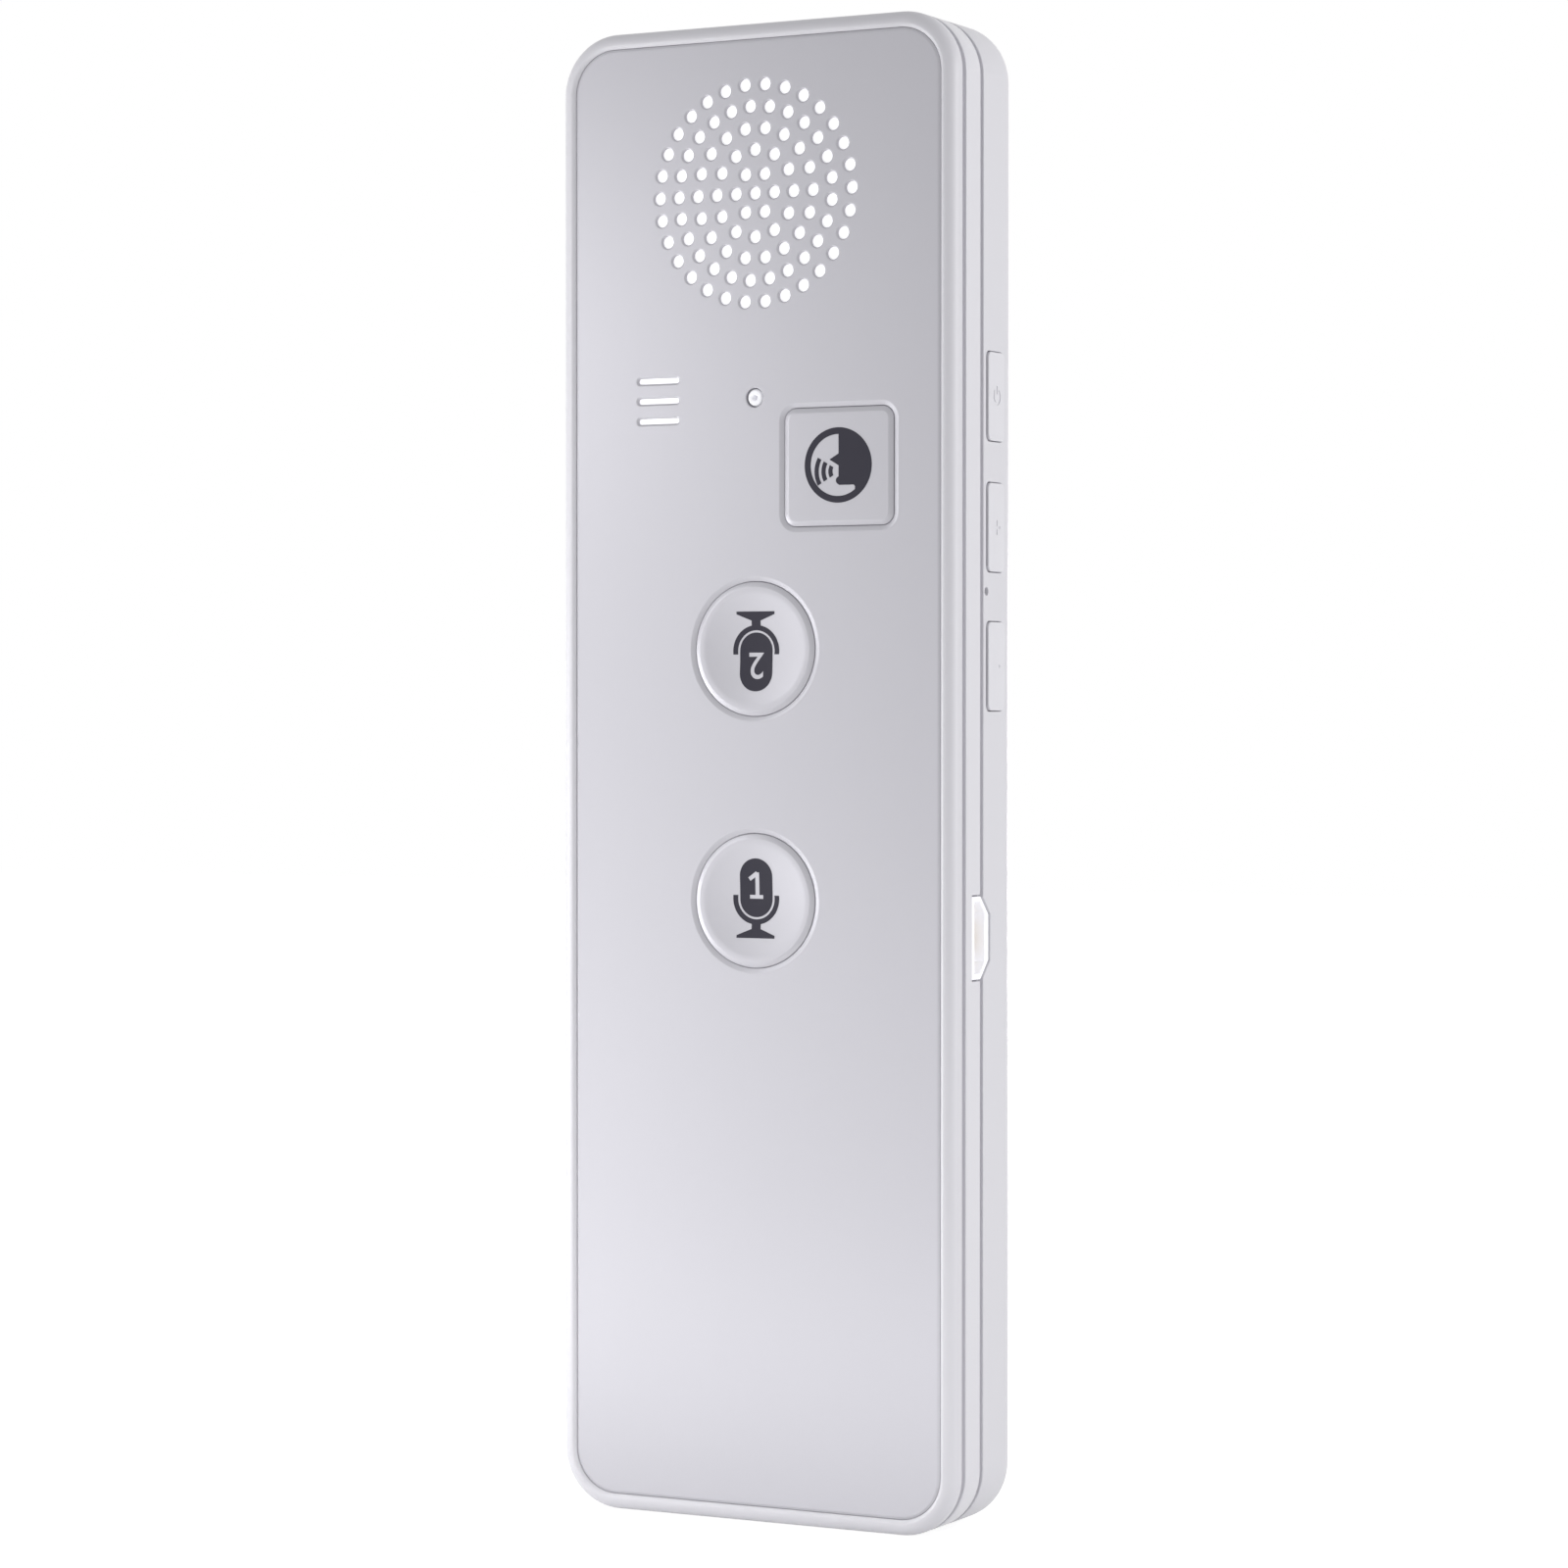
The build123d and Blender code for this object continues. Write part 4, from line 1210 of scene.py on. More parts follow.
@dataclass(frozen=True)
class SpeakMark:
    """A generic sign for speaking: a ring, a plain head in profile and three waves of sound."""

    rise: float = 0.12
    ring: float = 3.68
    line: float = 0.66
    head_inset: float = 0.2
    head_edge: float = 0.05
    head_cut: tuple[float, float, float] = (6.0, 4.0, 9.0)
    # x and z of its middle, and its radius.
    nose: tuple[float, float, float] = (-0.1, 0.55, 0.85)
    chin: RoundedBar = RoundedBar((0.3, -1.5), (1.1, 1.6, 0.8), 0.4)
    collar: RoundedBar = RoundedBar((-0.6, -2.75), (4.9, 4.0, 1.6), 0.2)
    mouth: tuple[float, float] = (0.15, -0.6)
    waves: tuple[float, ...] = (1.22, 1.98, 2.74)
    wave_line: float = 0.45
    wedge_radius: float = 4.0
    # Half the depth of the ring, of the head and of the small pieces, so that none ends level with another.
    half_depths: tuple[float, float, float] = (1.1, 1.0, 0.9)

    def stencil(self, x: float, z: float) -> Workpiece:
        """Make the solid that the sign is cut with.

        Args:
            x: Middle of the key.
            z: Height of the key.

        Returns:
            The stencil at the key.
        """
        middle = CASE_DEPTH / 2
        ring_ends, head_ends, small_ends = ((middle - reach, middle + reach) for reach in self.half_depths)
        head = disc("head", (0, 0), self.ring - self.head_inset, head_ends, sides=96)
        head.cut(block("head_cut", (self.head_edge - self.head_cut[0] / 2, middle, 0), self.head_cut))
        nose_x, nose_z, nose_size = self.nose
        nose = disc("nose", (0, 0), nose_size, small_ends, sides=3)
        nose.turn_and_move((0, -math.pi / 2, 0), Vector((nose_x, 0, nose_z)) * MM)
        head.add(nose)
        head.add(self.chin.build("chin"))
        head.cut(self.collar.build("collar"))
        ring = tube("ring", (0, 0), (self.ring, self.ring - self.line), ring_ends, sides=96)
        ring.add(head)
        for reach in self.waves:
            ring.add(self.wave(reach, small_ends))
        ring.move(x=x, z=z + self.rise)
        return ring

    def wave(self, reach: float, ends: tuple[float, float]) -> Workpiece:
        """Make one wave of sound, an arc to the left of the mouth.

        Args:
            reach: Outer radius of the arc.
            ends: Depths where it starts and ends.

        Returns:
            The arc.
        """
        arc = tube("wave", self.mouth, (reach, reach - self.wave_line), ends, sides=64)
        mouth_x, mouth_z = self.mouth
        wedge = disc("wedge", (0, 0), self.wedge_radius, (ends[0] - PAST, ends[1] + PAST), sides=3)
        wedge.turn_and_move((0, math.pi / 2, 0), Vector((mouth_x - self.wedge_radius, 0, mouth_z)) * MM)
        arc.combine(Join.COMMON, [wedge])
        return arc


@dataclass
class SpeakKey:
    """The square key above the round ones, with its sign."""

    layers: Layers
    body: str = "speak_key"
    gap: float = 0.06
    flange_width: float = 1.1
    form: FrontKeyForm = field(default_factory=FrontKeyForm)
    mark: SpeakMark = field(default_factory=SpeakMark)

    def build(self, shop: FinishShop) -> None:
        """Model the key and its sign and dress both."""
        form, middle = self.form, self.layers.speak_centre
        *sides, corner = self.layers.speak_opening
        width, height = (side - 2 * self.gap for side in sides)
        start, end = form.rim_end, form.flange[0]
        centre = (middle[0], (start + end) / 2, middle[1])
        key = block(f"{self.body}_cap", centre, (width, end - start, height), corner - self.gap, segments=10)
        with key.faces(face_at(start)):
            step_in(RIM)
        form.add_flange(key, middle, [(side + 2 * self.flange_width) / side for side in (width, height)])
        form.dress(shop, key, self.mark.stencil(*middle), self.body)


class SideMark(Enum):
    """The sign sunk into a side key."""

    POWER = "power"
    PLUS = "plus"
    MINUS = "minus"


@dataclass
class SideKey:
    """One of the three keys on the right edge, with a sunk sign."""

    body: str
    mark: SideMark
    z: float
    depth: float = 9.15
    # Depth, height and corner radius.
    size: tuple[float, float, float] = (3.5, 8.7, 0.64)
    outer: float = 22.15
    inner: float = 20.2
    flange_thickness: float = 0.8
    flange_overhang: float = 0.8
    edge_round: float = 0.14
    mark_depth: float = 0.07
    mark_size: float = 1.5
    mark_line: float = 0.3
    line_corner: float = 0.12
    ring_radius: float = 0.85
    ring_gap: tuple[float, float, float] = (4.0, 0.9, 1.35)
    # Length, and how far its middle lies above the middle of the key.
    power_line: tuple[float, float] = (0.825, 0.63)

    def build(self, shop: FinishShop) -> None:
        """Model the key and dress it."""
        thick, tall, corner = self.size
        flange_x = self.inner - self.flange_thickness / 2
        middle = ((flange_x + self.outer) / 2, self.depth, self.z)
        size = (self.outer - flange_x, thick, tall)
        key = block("key_front", middle, size, corner, Along.SIDEWAYS, segments=6)
        key.round_edges(edges_at(self.outer, Along.SIDEWAYS), self.edge_round, 4)
        flange_size = (self.flange_thickness, thick, tall + 2 * self.flange_overhang)
        flange = block(f"{self.body}_cap", (flange_x, self.depth, self.z), flange_size)
        flange.add(key)
        for tool in self.mark_tools():
            flange.cut(tool)
        flange.finish(shop, "side_key_plastic", self.body, [self.body])

    def bar(self, height: float, thick: float, offset: float = 0.0) -> Workpiece:
        """Make a bar that cuts a straight line of the sign.

        Args:
            height: Its extent along z.
            thick: Its extent in depth.
            offset: How far it lies above the middle of the key.

        Returns:
            The cutting tool.
        """
        centre = (self.outer - self.mark_depth + PAST / 2, self.depth, self.z + offset)
        return block("line", centre, (PAST, thick, height), self.line_corner, Along.SIDEWAYS, segments=3)

    def mark_tools(self) -> list[Workpiece]:
        """Make the tools that sink the sign into the key."""
        size, line = self.mark_size, self.mark_line
        if self.mark is SideMark.MINUS:
            return [self.bar(line, size)]
        if self.mark is SideMark.PLUS:
            return [self.bar(line, size), self.bar(size, line)]
        ends = (self.outer - self.mark_depth, self.outer + PAST)
        radii = (self.ring_radius, self.ring_radius - line)
        ring = tube("ring", (self.depth, self.z), radii, ends, Along.SIDEWAYS, sides=40)
        ring.cut(block("gap", (ends[0], self.depth, self.z + size / 2), self.ring_gap))
        length, offset = self.power_line
        return [ring, self.bar(length, line, offset)]


# ---------------------------------------------------------------- small pieces behind the panel
@dataclass
class LightPipe:
    """The milky rod that carries the status light to the front."""

    z: float
    radius: float = 0.85
    front: float = 0.3
    back: float = 6.6
    edge_round: float = 0.25
    hole_radius: float = 0.26
    hole_lip: float = 0.1
    hole: float = 0.7
    # Radius, and the depths where it starts and ends.
    collar: tuple[float, float, float] = (1.6, 2.2, 2.8)
    sides: int = 40

    def build(self, shop: FinishShop) -> None:
        """Model the rod with its hollow tip and dress it."""
        rod = disc("light_rod", (0.0, self.z), self.radius, (self.front, self.back), sides=self.sides)
        rod.round_edges(edges_at(self.front), self.edge_round, 4)
        with rod.faces(face_at(self.front)):
            inset(self.radius - self.edge_round - self.hole_radius - self.hole_lip)
            inset(self.hole_lip, -self.hole_lip)
            extrude(depth=self.hole)
        radius, start, end = self.collar
        rod.add(disc("collar", (0.0, self.z), radius, (start, end), sides=self.sides))
        # Its finish glows evenly: painted light on the rod.
        rod.finish(shop, "light_pipe", HOUSING, ["light_pipe"])


@dataclass
class AcousticCloth:
    """The woven cloth glued behind the grille and behind the microphone slots."""

    layers: Layers
    disc_radius: float = 12.4
    # First the glued edge, then the slight crown.
    disc_crown: Profile = ((1.0, 0.0), *((1.55, -0.004),) * 5)
    # Width and corner radius of the square behind the slots.
    patch: tuple[float, float] = (7.6, 1.0)
    patch_crown: Profile = ((0.3, 0.0), (0.5, -0.02))

    def build(self, shop: FinishShop) -> None:
        layers = self.layers
        ends = (layers.panel_back, layers.pocket_floor)
        # Both cloths take a glowing finish: painted light that brightens what shows through the holes and slots.
        cloth = disc("grille_cloth", (0.0, layers.grille_z), self.disc_radius, ends, sides=72)
        with cloth.faces(face_at(ends[0])):
            step_in(self.disc_crown)
        cloth.finish(shop, "cloth_white", HOUSING, ["speaker_dust_cloth"])
        side, corner = self.patch
        middle = (layers.slot_x, sum(ends) / 2, layers.sensor_z)
        patch = block("slot_cloth", middle, (side, ends[1] - ends[0], side), corner, segments=5)
        with patch.faces(face_at(ends[0])):
            step_in(self.patch_crown)
        patch.finish(shop, "cloth_white", HOUSING, ["microphone_mesh"])


class InnerParts:
    """The electronics and fixings inside the case, which keep their own shape and get a finish."""

    def build(self, shop: FinishShop, nodes: dict[str, bpy.types.Object]) -> None:
        """Dress every node that no modelled piece stands for.

        Args:
            shop: Where the finishes come from.
            nodes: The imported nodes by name.
        """
        shown = [node for node in nodes.values() if not node.hide_render]
        for node in shown:
            for slot in node.material_slots:
                slot.material = shop.material(slot.material.name.split(".")[0])
        LOG.info("%-22s %6d nodes keep their shape", "inner parts", len(shown))


# ---------------------------------------------------------------- finishes
class Texture(Enum):
    """The small structure of a surface, named after the shader group that makes it."""

    MOULDED = "moulded_grain"
    BRUSHED = "brushed_lines"
    WOVEN = "woven_threads"
    SPECKLED = "speckled_cells"
    WOUND = "wound_wire"
    TRACKED = "board_tracks"


@dataclass(frozen=True)
class Finish:
    """One surface finish: its tone, its gloss and the small structure that shows close up."""

    slot: str
    tone: tuple[int, int, int]
    roughness: float
    texture: Texture = Texture.MOULDED
    pitch: float = 0.25
    relief: float = 0.002
    drift: float = 0.03
    gloss_drift: float = 0.04
    metallic: float = 0.0
    # How strongly the surface gives off its own colour. This is painted light: none of the parts that get it is a
    # lamp.
    glow: float = 0.0
    transmission: float = 0.0
    specular: float = 0.5

    def shade(self, factor: float) -> tuple[float, float, float, float]:
        """Turn the tone into a scene colour, made lighter or darker by a factor."""
        return (*(min(1.0, linear(part) * factor) for part in self.tone), 1.0)


def linear(value: float) -> float:
    """Turn one part of a screen colour, from 0 to 255, into a linear light value."""
    part = value / 255
    return part / 12.92 if part <= 0.04045 else ((part + 0.055) / 1.055) ** 2.4


# In each row stand the slot, the tone, the roughness, the texture, its pitch and relief in millimetres, the drift of
# tone and of gloss, and the metallic share, as far as they aren't given by name.
FINISHES = (
    Finish("panel_metal", (180, 179, 185), 0.45, Texture.BRUSHED, 0.05, 0.0006, 0.015, 0.03, 0.4),
    Finish("case_white", (212, 211, 216), 0.38, pitch=0.18, relief=0.0012, drift=0.012),
    Finish("band_white", (216, 215, 220), 0.3, pitch=0.25, relief=0.0003, drift=0.004, gloss_drift=0.02),
    Finish("key_silver", (180, 179, 185), 0.42, Texture.SPECKLED, 0.03, 0.0003, 0.02, 0.04, 0.4),
    Finish("side_key_plastic", (217, 216, 221), 0.34, pitch=0.15, relief=0.001, drift=0.012),
    Finish("key_ink", (41, 39, 51), 0.6, pitch=0.12, relief=0.002, drift=0.06, specular=0.3),
    Finish("adhesive", (38, 38, 40), 0.85, pitch=0.4, relief=0.02, drift=0.1),
    # The cloth glows: painted light that keeps the grille holes and the microphone slots white in front of it.
    Finish("cloth_white", (250, 250, 252), 0.9, Texture.WOVEN, 0.14, 0.02, 0.03, glow=0.55),
    Finish("rubber_black", (38, 37, 38), 0.75, pitch=0.2, relief=0.01, drift=0.1),
    Finish("foam", (52, 52, 55), 0.95, Texture.SPECKLED, 0.35, 0.08, 0.25),
    # The rod glows evenly: painted light, as the light chip behind it gives off none.
    Finish("light_pipe", (244, 244, 248), 0.25, pitch=0.3, relief=0.0005, glow=0.1),
    # The port's shell and insulator glow: painted light that brightens the inside of the port.
    Finish("port_steel", (248, 248, 251), 0.5, Texture.BRUSHED, 0.06, 0.0003, 0.01, 0.05, 0.4, glow=0.12),
    Finish("port_insulator", (246, 246, 248), 0.45, pitch=0.2, relief=0.0005, drift=0.01, glow=0.12),
    Finish("contact_gold", (236, 210, 150), 0.3, Texture.BRUSHED, 0.05, 0.0004, 0.05, 0.05, 1.0),
    Finish("board_green", (28, 92, 56), 0.35, Texture.TRACKED, 1.6, 0.02, 0.35, 0.06),
    Finish("chip_black", (34, 34, 36), 0.5, Texture.SPECKLED, 0.08, 0.004, 0.15),
    Finish("can_steel", (186, 186, 190), 0.35, Texture.BRUSHED, 0.12, 0.001, 0.06, 0.08, 1.0),
    Finish("screw_steel", (132, 132, 136), 0.35, Texture.BRUSHED, 0.06, 0.001, 0.08, 0.08, 1.0),
    Finish("switch_black", (42, 42, 44), 0.5, pitch=0.15, relief=0.002, drift=0.1),
    Finish("ceramic_tan", (186, 164, 132), 0.5, Texture.SPECKLED, 0.1, 0.003, 0.12),
    Finish("magnet", (150, 150, 154), 0.35, pitch=0.3, relief=0.002, drift=0.08, metallic=1.0),
    Finish("cone_film", (64, 64, 66), 0.5, pitch=0.6, relief=0.004, drift=0.1),
    Finish("coil_copper", (196, 120, 72), 0.3, Texture.WOUND, 0.12, 0.03, 0.2, 0.05, 1.0),
    Finish("battery_foil", (184, 186, 188), 0.32, pitch=1.4, relief=0.03, drift=0.06, metallic=0.8),
    Finish("wire_red", (168, 40, 34), 0.4, pitch=0.3, relief=0.002, drift=0.08),
    Finish("plug_white", (232, 228, 216), 0.45, pitch=0.2, relief=0.001, drift=0.03),
    Finish("led_chip", (244, 242, 228), 0.2, pitch=0.2, relief=0.001, transmission=0.4),
)


class Wiring:
    """Adds and links the nodes of one shader tree."""

    def __init__(self, tree: bpy.types.NodeTree) -> None:
        """Start on a tree that has no nodes yet."""
        self.tree = tree

    def node(
        self, kind: str, inputs: Mapping[str | int, object] | None = None, **settings: object
    ) -> bpy.types.Node:
        """Add a node.

        Args:
            kind: Its type, without the word ShaderNode.
            inputs: What its inputs get, by name or number: a socket to link, or a value.
            settings: Its own properties, which are set first.

        Returns:
            The node.
        """
        made = self.tree.nodes.new(kind if kind.startswith("Node") else f"ShaderNode{kind}")
        for name, value in settings.items():
            setattr(made, name, value)
        for key, value in (inputs or {}).items():
            self.feed(made.inputs[key], value)
        return made

    def feed(self, socket: bpy.types.NodeSocket, value: object) -> None:
        """Link an output to an input, or give the input a value."""
        if isinstance(value, bpy.types.NodeSocket):
            self.tree.links.new(value, socket)
        else:
            socket.default_value = value

    def math(self, operation: str, first: object, second: object = 0.0) -> bpy.types.NodeSocket:
        """Add a calculation.

        Args:
            operation: Blender's name of the operation.
            first: A socket or a number.
            second: A socket or a number.

        Returns:
            The result.
        """
        return self.node("Math", {0: first, 1: second}, operation=operation).outputs[0]

    def stretched(self, vector: object, by: tuple[float, float, float]) -> bpy.types.NodeSocket:
        """Stretch a place by a factor along each direction."""
        return self.node("VectorMath", {0: vector, 1: by}, operation="MULTIPLY").outputs[0]

    def noise(self, vector: object, scale: object, detail: float) -> bpy.types.NodeSocket:
        """Add a noise of a given scale and detail."""
        return self.node("TexNoise", {"Vector": vector, "Scale": scale, "Detail": detail}).outputs["Fac"]

    def blend(self, share: object, first: object, second: object) -> bpy.types.NodeSocket:
        """Blend two colours, of which only the second is left at a share of 1."""
        return self.node("Mix", {0: share, 6: first, 7: second}, data_type="RGBA").outputs[2]

    def parts(self, vector: object) -> bpy.types.NodeOutputs:
        """Take a place apart into its X, Y and Z."""
        return self.node("SeparateXYZ", {0: vector}).outputs

    def ridges(self, part: object, scale: object) -> bpy.types.NodeSocket:
        """Make round ridges that follow each other along one direction, a number of them to the metre."""
        turns = self.math("MULTIPLY", scale, math.pi)
        return self.math("ABSOLUTE", self.math("SINE", self.math("MULTIPLY", part, turns)))


def bare_wiring(owner: bpy.types.Material | bpy.types.World) -> Wiring:
    """Switch on the shader tree of a material or a world, empty it, and give its wiring."""
    owner.use_nodes = True
    owner.node_tree.nodes.clear()
    return Wiring(owner.node_tree)


class EffectGroups:
    """The shader groups that the finishes share. Each gives a height and a mask that change over the surface."""

    # The slow clouds that a colour's drift follows, in clouds to the metre.
    cloud_scale = 45.0
    cloud_detail = 3.0

    def __init__(self) -> None:
        """Build every group once."""
        fills = {
            Texture.MOULDED: self.moulded,
            Texture.BRUSHED: self.brushed,
            Texture.WOVEN: self.woven,
            Texture.SPECKLED: self.speckled,
            Texture.WOUND: self.wound,
            Texture.TRACKED: self.tracked,
        }
        self.groups = {texture: self.build(texture, fill) for texture, fill in fills.items()}
        self.tone_drift = self.build_tone_drift()

    @staticmethod
    def start(
        name: str, inputs: Mapping[str, str], outputs: Mapping[str, str]
    ) -> tuple[Wiring, bpy.types.NodeOutputs, bpy.types.NodeInputs]:
        """Start a group.

        Args:
            name: Its name.
            inputs: The kind of each input, by name: Vector, Float or Color.
            outputs: The kind of each output.

        Returns:
            Its wiring, the sockets that bring its inputs, and those that take its outputs.
        """
        tree = bpy.data.node_groups.new(name, "ShaderNodeTree")
        for side, sockets in (("INPUT", inputs), ("OUTPUT", outputs)):
            for label, kind in sockets.items():
                tree.interface.new_socket(label, in_out=side, socket_type=f"NodeSocket{kind}")
        wiring = Wiring(tree)
        return wiring, wiring.node("NodeGroupInput").outputs, wiring.node("NodeGroupOutput").inputs

    def build(
        self, texture: Texture, fill: Callable[[Wiring, object, object], tuple[object, object]]
    ) -> bpy.types.NodeTree:
        """Build one group.

        Args:
            texture: The structure it makes.
            fill: Adds its nodes, given the place and the scale, and returns the height and the mask.

        Returns:
            The group.
        """
        wiring, given, wanted = self.start(
            texture.value, {"Vector": "Vector", "Scale": "Float"}, {"Height": "Float", "Mask": "Float"}
        )
        height, mask = fill(wiring, given["Vector"], given["Scale"])
        wiring.feed(wanted["Height"], height)
        wiring.feed(wanted["Mask"], mask)
        return wiring.tree

    def build_tone_drift(self) -> bpy.types.NodeTree:
        """Build the group that lets a colour wander slowly between two tones."""
        inputs = {"Vector": "Vector", "Texture Mask": "Float", "Texture Share": "Float"}
        tones = {"Light Tone": "Color", "Dark Tone": "Color"}
        wiring, given, wanted = self.start("tone_drift", inputs | tones, {"Color": "Color"})
        share = given["Texture Share"]
        clouds = wiring.noise(given["Vector"], self.cloud_scale, self.cloud_detail)
        texture = wiring.math("MULTIPLY", given["Texture Mask"], share)
        slow = wiring.math("MULTIPLY", clouds, wiring.math("SUBTRACT", 1.0, share))
        lightness = wiring.math("ADD", texture, slow)
        wiring.feed(wanted["Color"], wiring.blend(lightness, given["Dark Tone"], given["Light Tone"]))
        return wiring.tree

    @staticmethod
    def moulded(wiring: Wiring, vector: object, scale: object) -> tuple[object, object]:
        """Make the fine grain of a moulded surface, and a coarser mask for its gloss."""
        coarse = wiring.math("MULTIPLY", scale, 0.15)
        return wiring.noise(vector, scale, 4.0), wiring.noise(vector, coarse, 2.0)

    @staticmethod
    def brushed(wiring: Wiring, vector: object, scale: object) -> tuple[object, object]:
        """Make fine lines that run up and down."""
        lines = wiring.stretched(vector, (1.0, 1.0, 0.02))
        long_lines = wiring.stretched(vector, (0.3, 0.3, 0.004))
        return wiring.noise(lines, scale, 3.0), wiring.noise(long_lines, scale, 2.0)

    @staticmethod
    def woven(wiring: Wiring, vector: object, scale: object) -> tuple[object, object]:
        """Make threads that pass over and under each other."""
        parts = wiring.parts(vector)
        checks = wiring.node("TexChecker", {"Vector": vector, "Scale": scale}).outputs["Fac"]
        over = wiring.math("MULTIPLY", wiring.ridges(parts["X"], scale), checks)
        under = wiring.math("MULTIPLY", wiring.ridges(parts["Z"], scale), wiring.math("SUBTRACT", 1.0, checks))
        height = wiring.math("ADD", over, under)
        return height, height

    @staticmethod
    def speckled(wiring: Wiring, vector: object, scale: object) -> tuple[object, object]:
        """Make small cells, as in foam, filled resin or metallic paint."""
        cells = wiring.node("TexVoronoi", {"Vector": vector, "Scale": scale}).outputs
        return cells["Distance"], wiring.node("SeparateColor", {0: cells["Color"]}).outputs[0]

    @staticmethod
    def wound(wiring: Wiring, vector: object, scale: object) -> tuple[object, object]:
        """Make the turns of a wound wire, one behind the other."""
        return wiring.ridges(wiring.parts(vector)["Y"], scale), wiring.noise(vector, scale, 2.0)

    @staticmethod
    def tracked(wiring: Wiring, vector: object, scale: object) -> tuple[object, object]:
        """Make the raised tracks and pads of a circuit board."""
        parts = wiring.parts(vector)
        flat = wiring.node("CombineXYZ", {"X": parts["X"], "Y": parts["Z"]}).outputs[0]
        layout = {"Vector": flat, "Scale": scale, "Mortar Size": 0.06, "Brick Width": 1.7, "Row Height": 0.35}
        bricks = wiring.node("TexBrick", layout, offset=0.5, squash=0.6, squash_frequency=3).outputs["Fac"]
        return bricks, bricks


class FinishShop:
    """Makes each finish once and hands out its material."""

    # How much of a colour's drift follows the texture. The rest follows slow clouds.
    texture_share = 0.5

    def __init__(self, finishes: Sequence[Finish]) -> None:
        """Prepare the shared groups.

        Args:
            finishes: Every finish of the object.
        """
        self.finishes = {finish.slot: finish for finish in finishes}
        self.effects = EffectGroups()
        self.made: dict[str, bpy.types.Material] = {}

    def material(self, slot: str) -> bpy.types.Material:
        """Give the material of a slot, and make it the first time.

        Args:
            slot: Name of the finish.

        Returns:
            The material.
        """
        if slot not in self.made:
            self.made[slot] = self.make(self.finishes[slot])
        return self.made[slot]

    def make(self, finish: Finish) -> bpy.types.Material:
        """Wire the material of one finish.

        Args:
            finish: What it looks like.

        Returns:
            The material.
        """
        material = bpy.data.materials.new(f"{finish.slot}_finish")
        wiring = bare_wiring(material)
        spot = wiring.node("TexCoord").outputs["Object"]
        group = self.effects.groups[finish.texture]
        texture = wiring.node("Group", {"Scale": 1 / (finish.pitch * MM), "Vector": spot}, node_tree=group).outputs
        colour = self.tone(wiring, finish, spot, texture["Mask"])
        dull, glossy = finish.roughness + finish.gloss_drift, finish.roughness - finish.gloss_drift
        gloss = wiring.node("MapRange", {"Value": texture["Mask"], "To Min": glossy, "To Max": dull})
        bump = wiring.node("Bump", {"Distance": finish.relief * MM, "Height": texture["Height"]})
        look = {
            "Base Color": colour,
            "Roughness": gloss.outputs[0],
            "Normal": bump.outputs[0],
            "Metallic": finish.metallic,
            "Transmission Weight": finish.transmission,
            "Specular IOR Level": finish.specular,
            "Emission Strength": finish.glow,
        }
        # A glow gives off the surface's own colour as painted light; none of these surfaces is a lamp.
        if finish.glow:
            look["Emission Color"] = colour
        shader = wiring.node("BsdfPrincipled", look)
        wiring.node("OutputMaterial", {"Surface": shader.outputs[0]})
        return material

    def tone(self, wiring: Wiring, finish: Finish, spot: object, mask: object) -> bpy.types.NodeSocket:
        """Wire the colour, which wanders a little over the surface.

        Args:
            wiring: The material's nodes.
            finish: What it looks like.
            spot: Place on the object.
            mask: The texture's mask.

        Returns:
            The colour.
        """
        tones = {
            "Vector": spot,
            "Texture Mask": mask,
            "Texture Share": self.texture_share,
            "Light Tone": finish.shade(1 + finish.drift),
            "Dark Tone": finish.shade(1 - finish.drift),
        }
        return wiring.node("Group", tones, node_tree=self.effects.tone_drift).outputs["Color"]


# ---------------------------------------------------------------- studio
@dataclass(frozen=True)
class SoftLamp:
    """A rectangular lamp that points at a spot on the object."""

    name: str
    where: tuple[float, float, float]
    aim: tuple[float, float, float]
    size: tuple[float, float]
    power: float

    def build(self) -> None:
        """Hang the lamp."""
        data = bpy.data.lights.new(self.name, "AREA")
        data.shape, data.energy = "RECTANGLE", self.power
        data.size, data.size_y = self.size
        lamp = bpy.data.objects.new(self.name, data)
        lamp.location = self.where
        lamp.rotation_euler = (Vector(self.aim) - Vector(self.where)).to_track_quat("-Z", "Y").to_euler()
        bpy.context.scene.collection.objects.link(lamp)


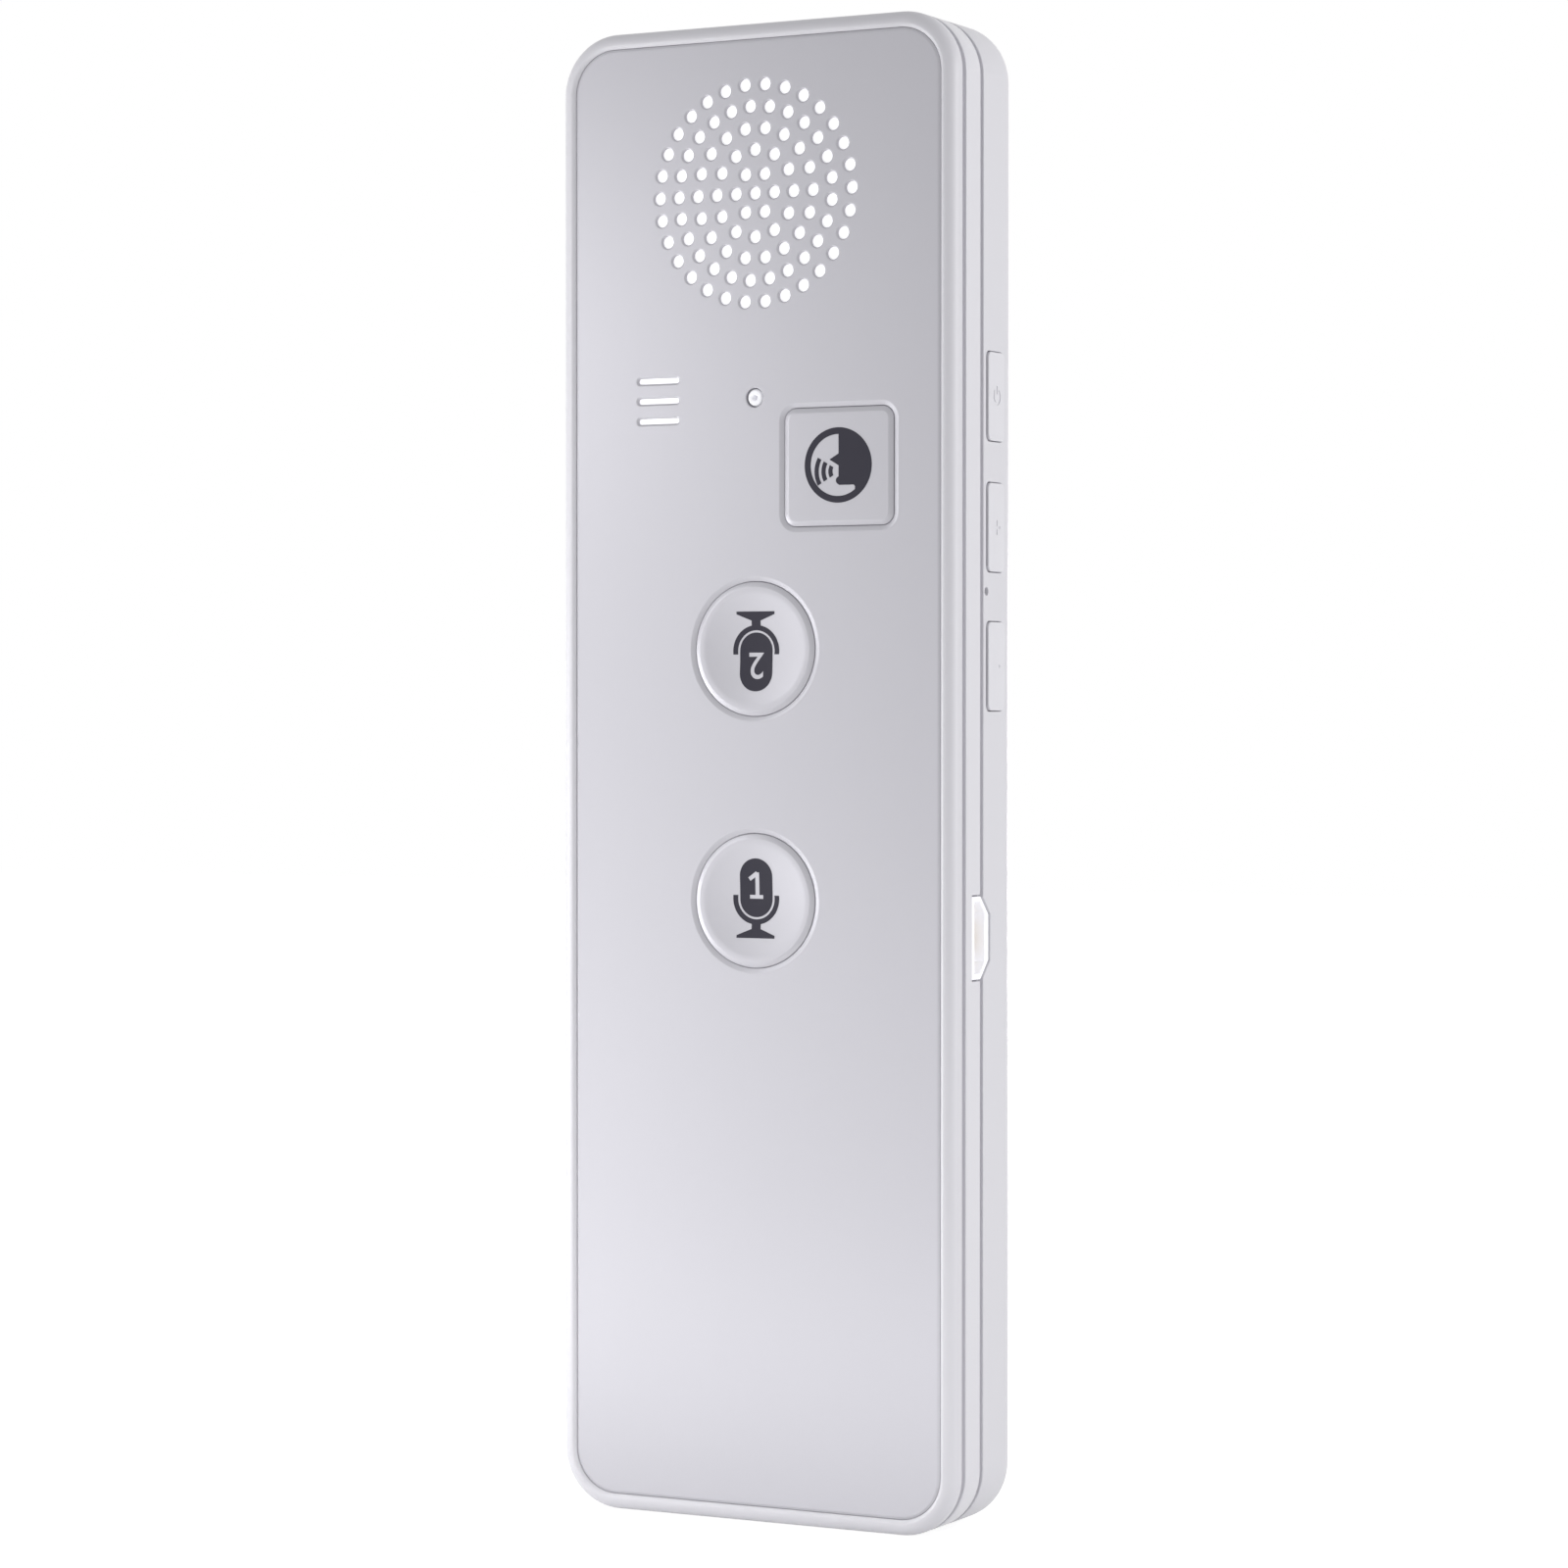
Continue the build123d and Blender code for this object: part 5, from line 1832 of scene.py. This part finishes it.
@dataclass
class Studio:
    """A white floor, a white surround, soft lamps and the camera."""

    eye: tuple[float, float, float] = (0.20995, -0.39574, 0.07938)
    heading: float = math.radians(27.9829)
    tilt: float = math.radians(0.8229)
    focal_pixels: float = 4573.2
    frame_pixels: float = 1600.0
    sensor: float = 36.0
    clip: tuple[float, float] = (0.01, 20.0)
    ambient: tuple[float, float, float] = (0.5, 0.5, 0.508)
    floor_size: float = 3.0
    floor_gap: float = 0.02
    floor_tone: float = 0.8
    floor_glow: float = 0.86
    floor_shade: float = 0.3
    lamps: tuple[SoftLamp, ...] = (
        SoftLamp("left_strip", (-0.09, -0.10, 0.06), (-0.01, -0.007, 0.06), (0.05, 0.15), 0.026),
        SoftLamp("grazing_strip", (-0.14, -0.05, 0.03), (0.0, -0.007, 0.05), (0.05, 0.12), 0.12),
        SoftLamp("upper_left_lamp", (-0.09, -0.09, 0.13), (-0.01, -0.007, 0.13), (0.04, 0.04), 0.0235),
        SoftLamp("low_strip", (-0.08, -0.22, 0.02), (0.0, -0.007, 0.03), (0.30, 0.05), 0.079),
        SoftLamp("foot_strip", (0.0, -0.06, 0.004), (0.0, -0.007, 0.02), (0.20, 0.02), 0.023),
        SoftLamp("right_lamp", (0.60, -0.02, 0.16), (0.02, 0.0, 0.075), (0.40, 0.40), 0.88),
        SoftLamp("right_back_lamp", (0.58, 0.16, 0.16), (0.02, 0.0, 0.075), (0.40, 0.40), 1.09),
        SoftLamp("back_lamp", (-0.22, 0.57, 0.06), (0.0, 0.007, 0.075), (0.50, 0.10), 1.25),
    )

    def build(self) -> None:
        """Set up the camera, the lamps, the surround and the floor."""
        self.add_camera()
        for lamp in self.lamps:
            lamp.build()
        self.add_surround()
        self.add_floor()
        bpy.context.scene.view_settings.view_transform = "Standard"

    def add_camera(self) -> None:
        """Set up the camera beside the middle of the object, looking slightly down."""
        data = bpy.data.cameras.new("camera")
        data.sensor_width = self.sensor
        data.lens = self.focal_pixels / self.frame_pixels * self.sensor
        data.clip_start, data.clip_end = self.clip
        camera = bpy.data.objects.new("camera", data)
        camera.location = self.eye
        camera.rotation_euler = (math.pi / 2 - self.tilt, 0.0, self.heading)
        bpy.context.scene.collection.objects.link(camera)
        bpy.context.scene.camera = camera

    @staticmethod
    def seen_directly(wiring: Wiring) -> bpy.types.NodeSocket:
        """Make a mask that is 1 for what the camera, a reflection or glass shows, and 0 for soft light."""
        path = wiring.node("LightPath").outputs
        seen = wiring.math("MAXIMUM", path["Is Camera Ray"], path["Is Glossy Ray"])
        return wiring.math("MAXIMUM", seen, path["Is Transmission Ray"])

    def add_surround(self) -> None:
        """Make the surround white to look at and a plain grey as a light."""
        world = bpy.data.worlds.new("surround")
        bpy.context.scene.world = world
        wiring = bare_wiring(world)
        tone = wiring.blend(self.seen_directly(wiring), (*self.ambient, 1.0), (1.0, 1.0, 1.0, 1.0))
        sky = wiring.node("Background", {"Color": tone})
        wiring.node("OutputWorld", {"Surface": sky.outputs[0]})

    def add_floor(self) -> None:
        """Lay a floor that looks white and keeps a faint shadow of the object."""
        bpy.ops.mesh.primitive_plane_add(size=self.floor_size, location=(0, 0, -self.floor_gap * MM))
        floor = bpy.context.object
        floor.name = "floor"
        material = bpy.data.materials.new("floor_white")
        wiring = bare_wiring(material)
        lit, faint = (
            wiring.node("BsdfDiffuse", {"Color": (tone, tone, tone, 1.0)}).outputs[0]
            for tone in (self.floor_tone, self.floor_shade)
        )
        glow = wiring.node("Emission", {"Strength": self.floor_glow}).outputs[0]
        plain = wiring.node("AddShader", {0: glow, 1: faint}).outputs[0]
        mixed = wiring.node("MixShader", {0: self.seen_directly(wiring), 1: lit, 2: plain}).outputs[0]
        wiring.node("OutputMaterial", {"Surface": mixed})
        floor.data.materials.append(material)


def main() -> None:
    """Load the frame, build every piece on it, and set up the studio."""
    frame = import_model()
    shop = FinishShop(FINISHES)
    outline, layers, port = CaseOutline(), Layers(), ChargingPort()
    low_key, high_key = layers.talk_heights
    power_z, up_z, down_z = layers.side_key_heights
    pieces = (
        FrontBezel(outline, layers),
        FrontPanel(outline, layers),
        MiddleBand(outline, layers, port),
        BackCover(outline, layers, port),
        port,
        TalkKey("talk_key_one", "1", False, low_key),
        TalkKey("talk_key_two", "2", True, high_key),
        SpeakKey(layers),
        SideKey("power_key", SideMark.POWER, power_z),
        SideKey("volume_up_key", SideMark.PLUS, up_z),
        SideKey("volume_down_key", SideMark.MINUS, down_z),
        LightPipe(layers.sensor_z),
        AcousticCloth(layers),
    )
    for piece in pieces:
        piece.build(shop)
    InnerParts().build(shop, frame["nodes"])
    Studio().build()


if __name__ == "__main__":
    main()
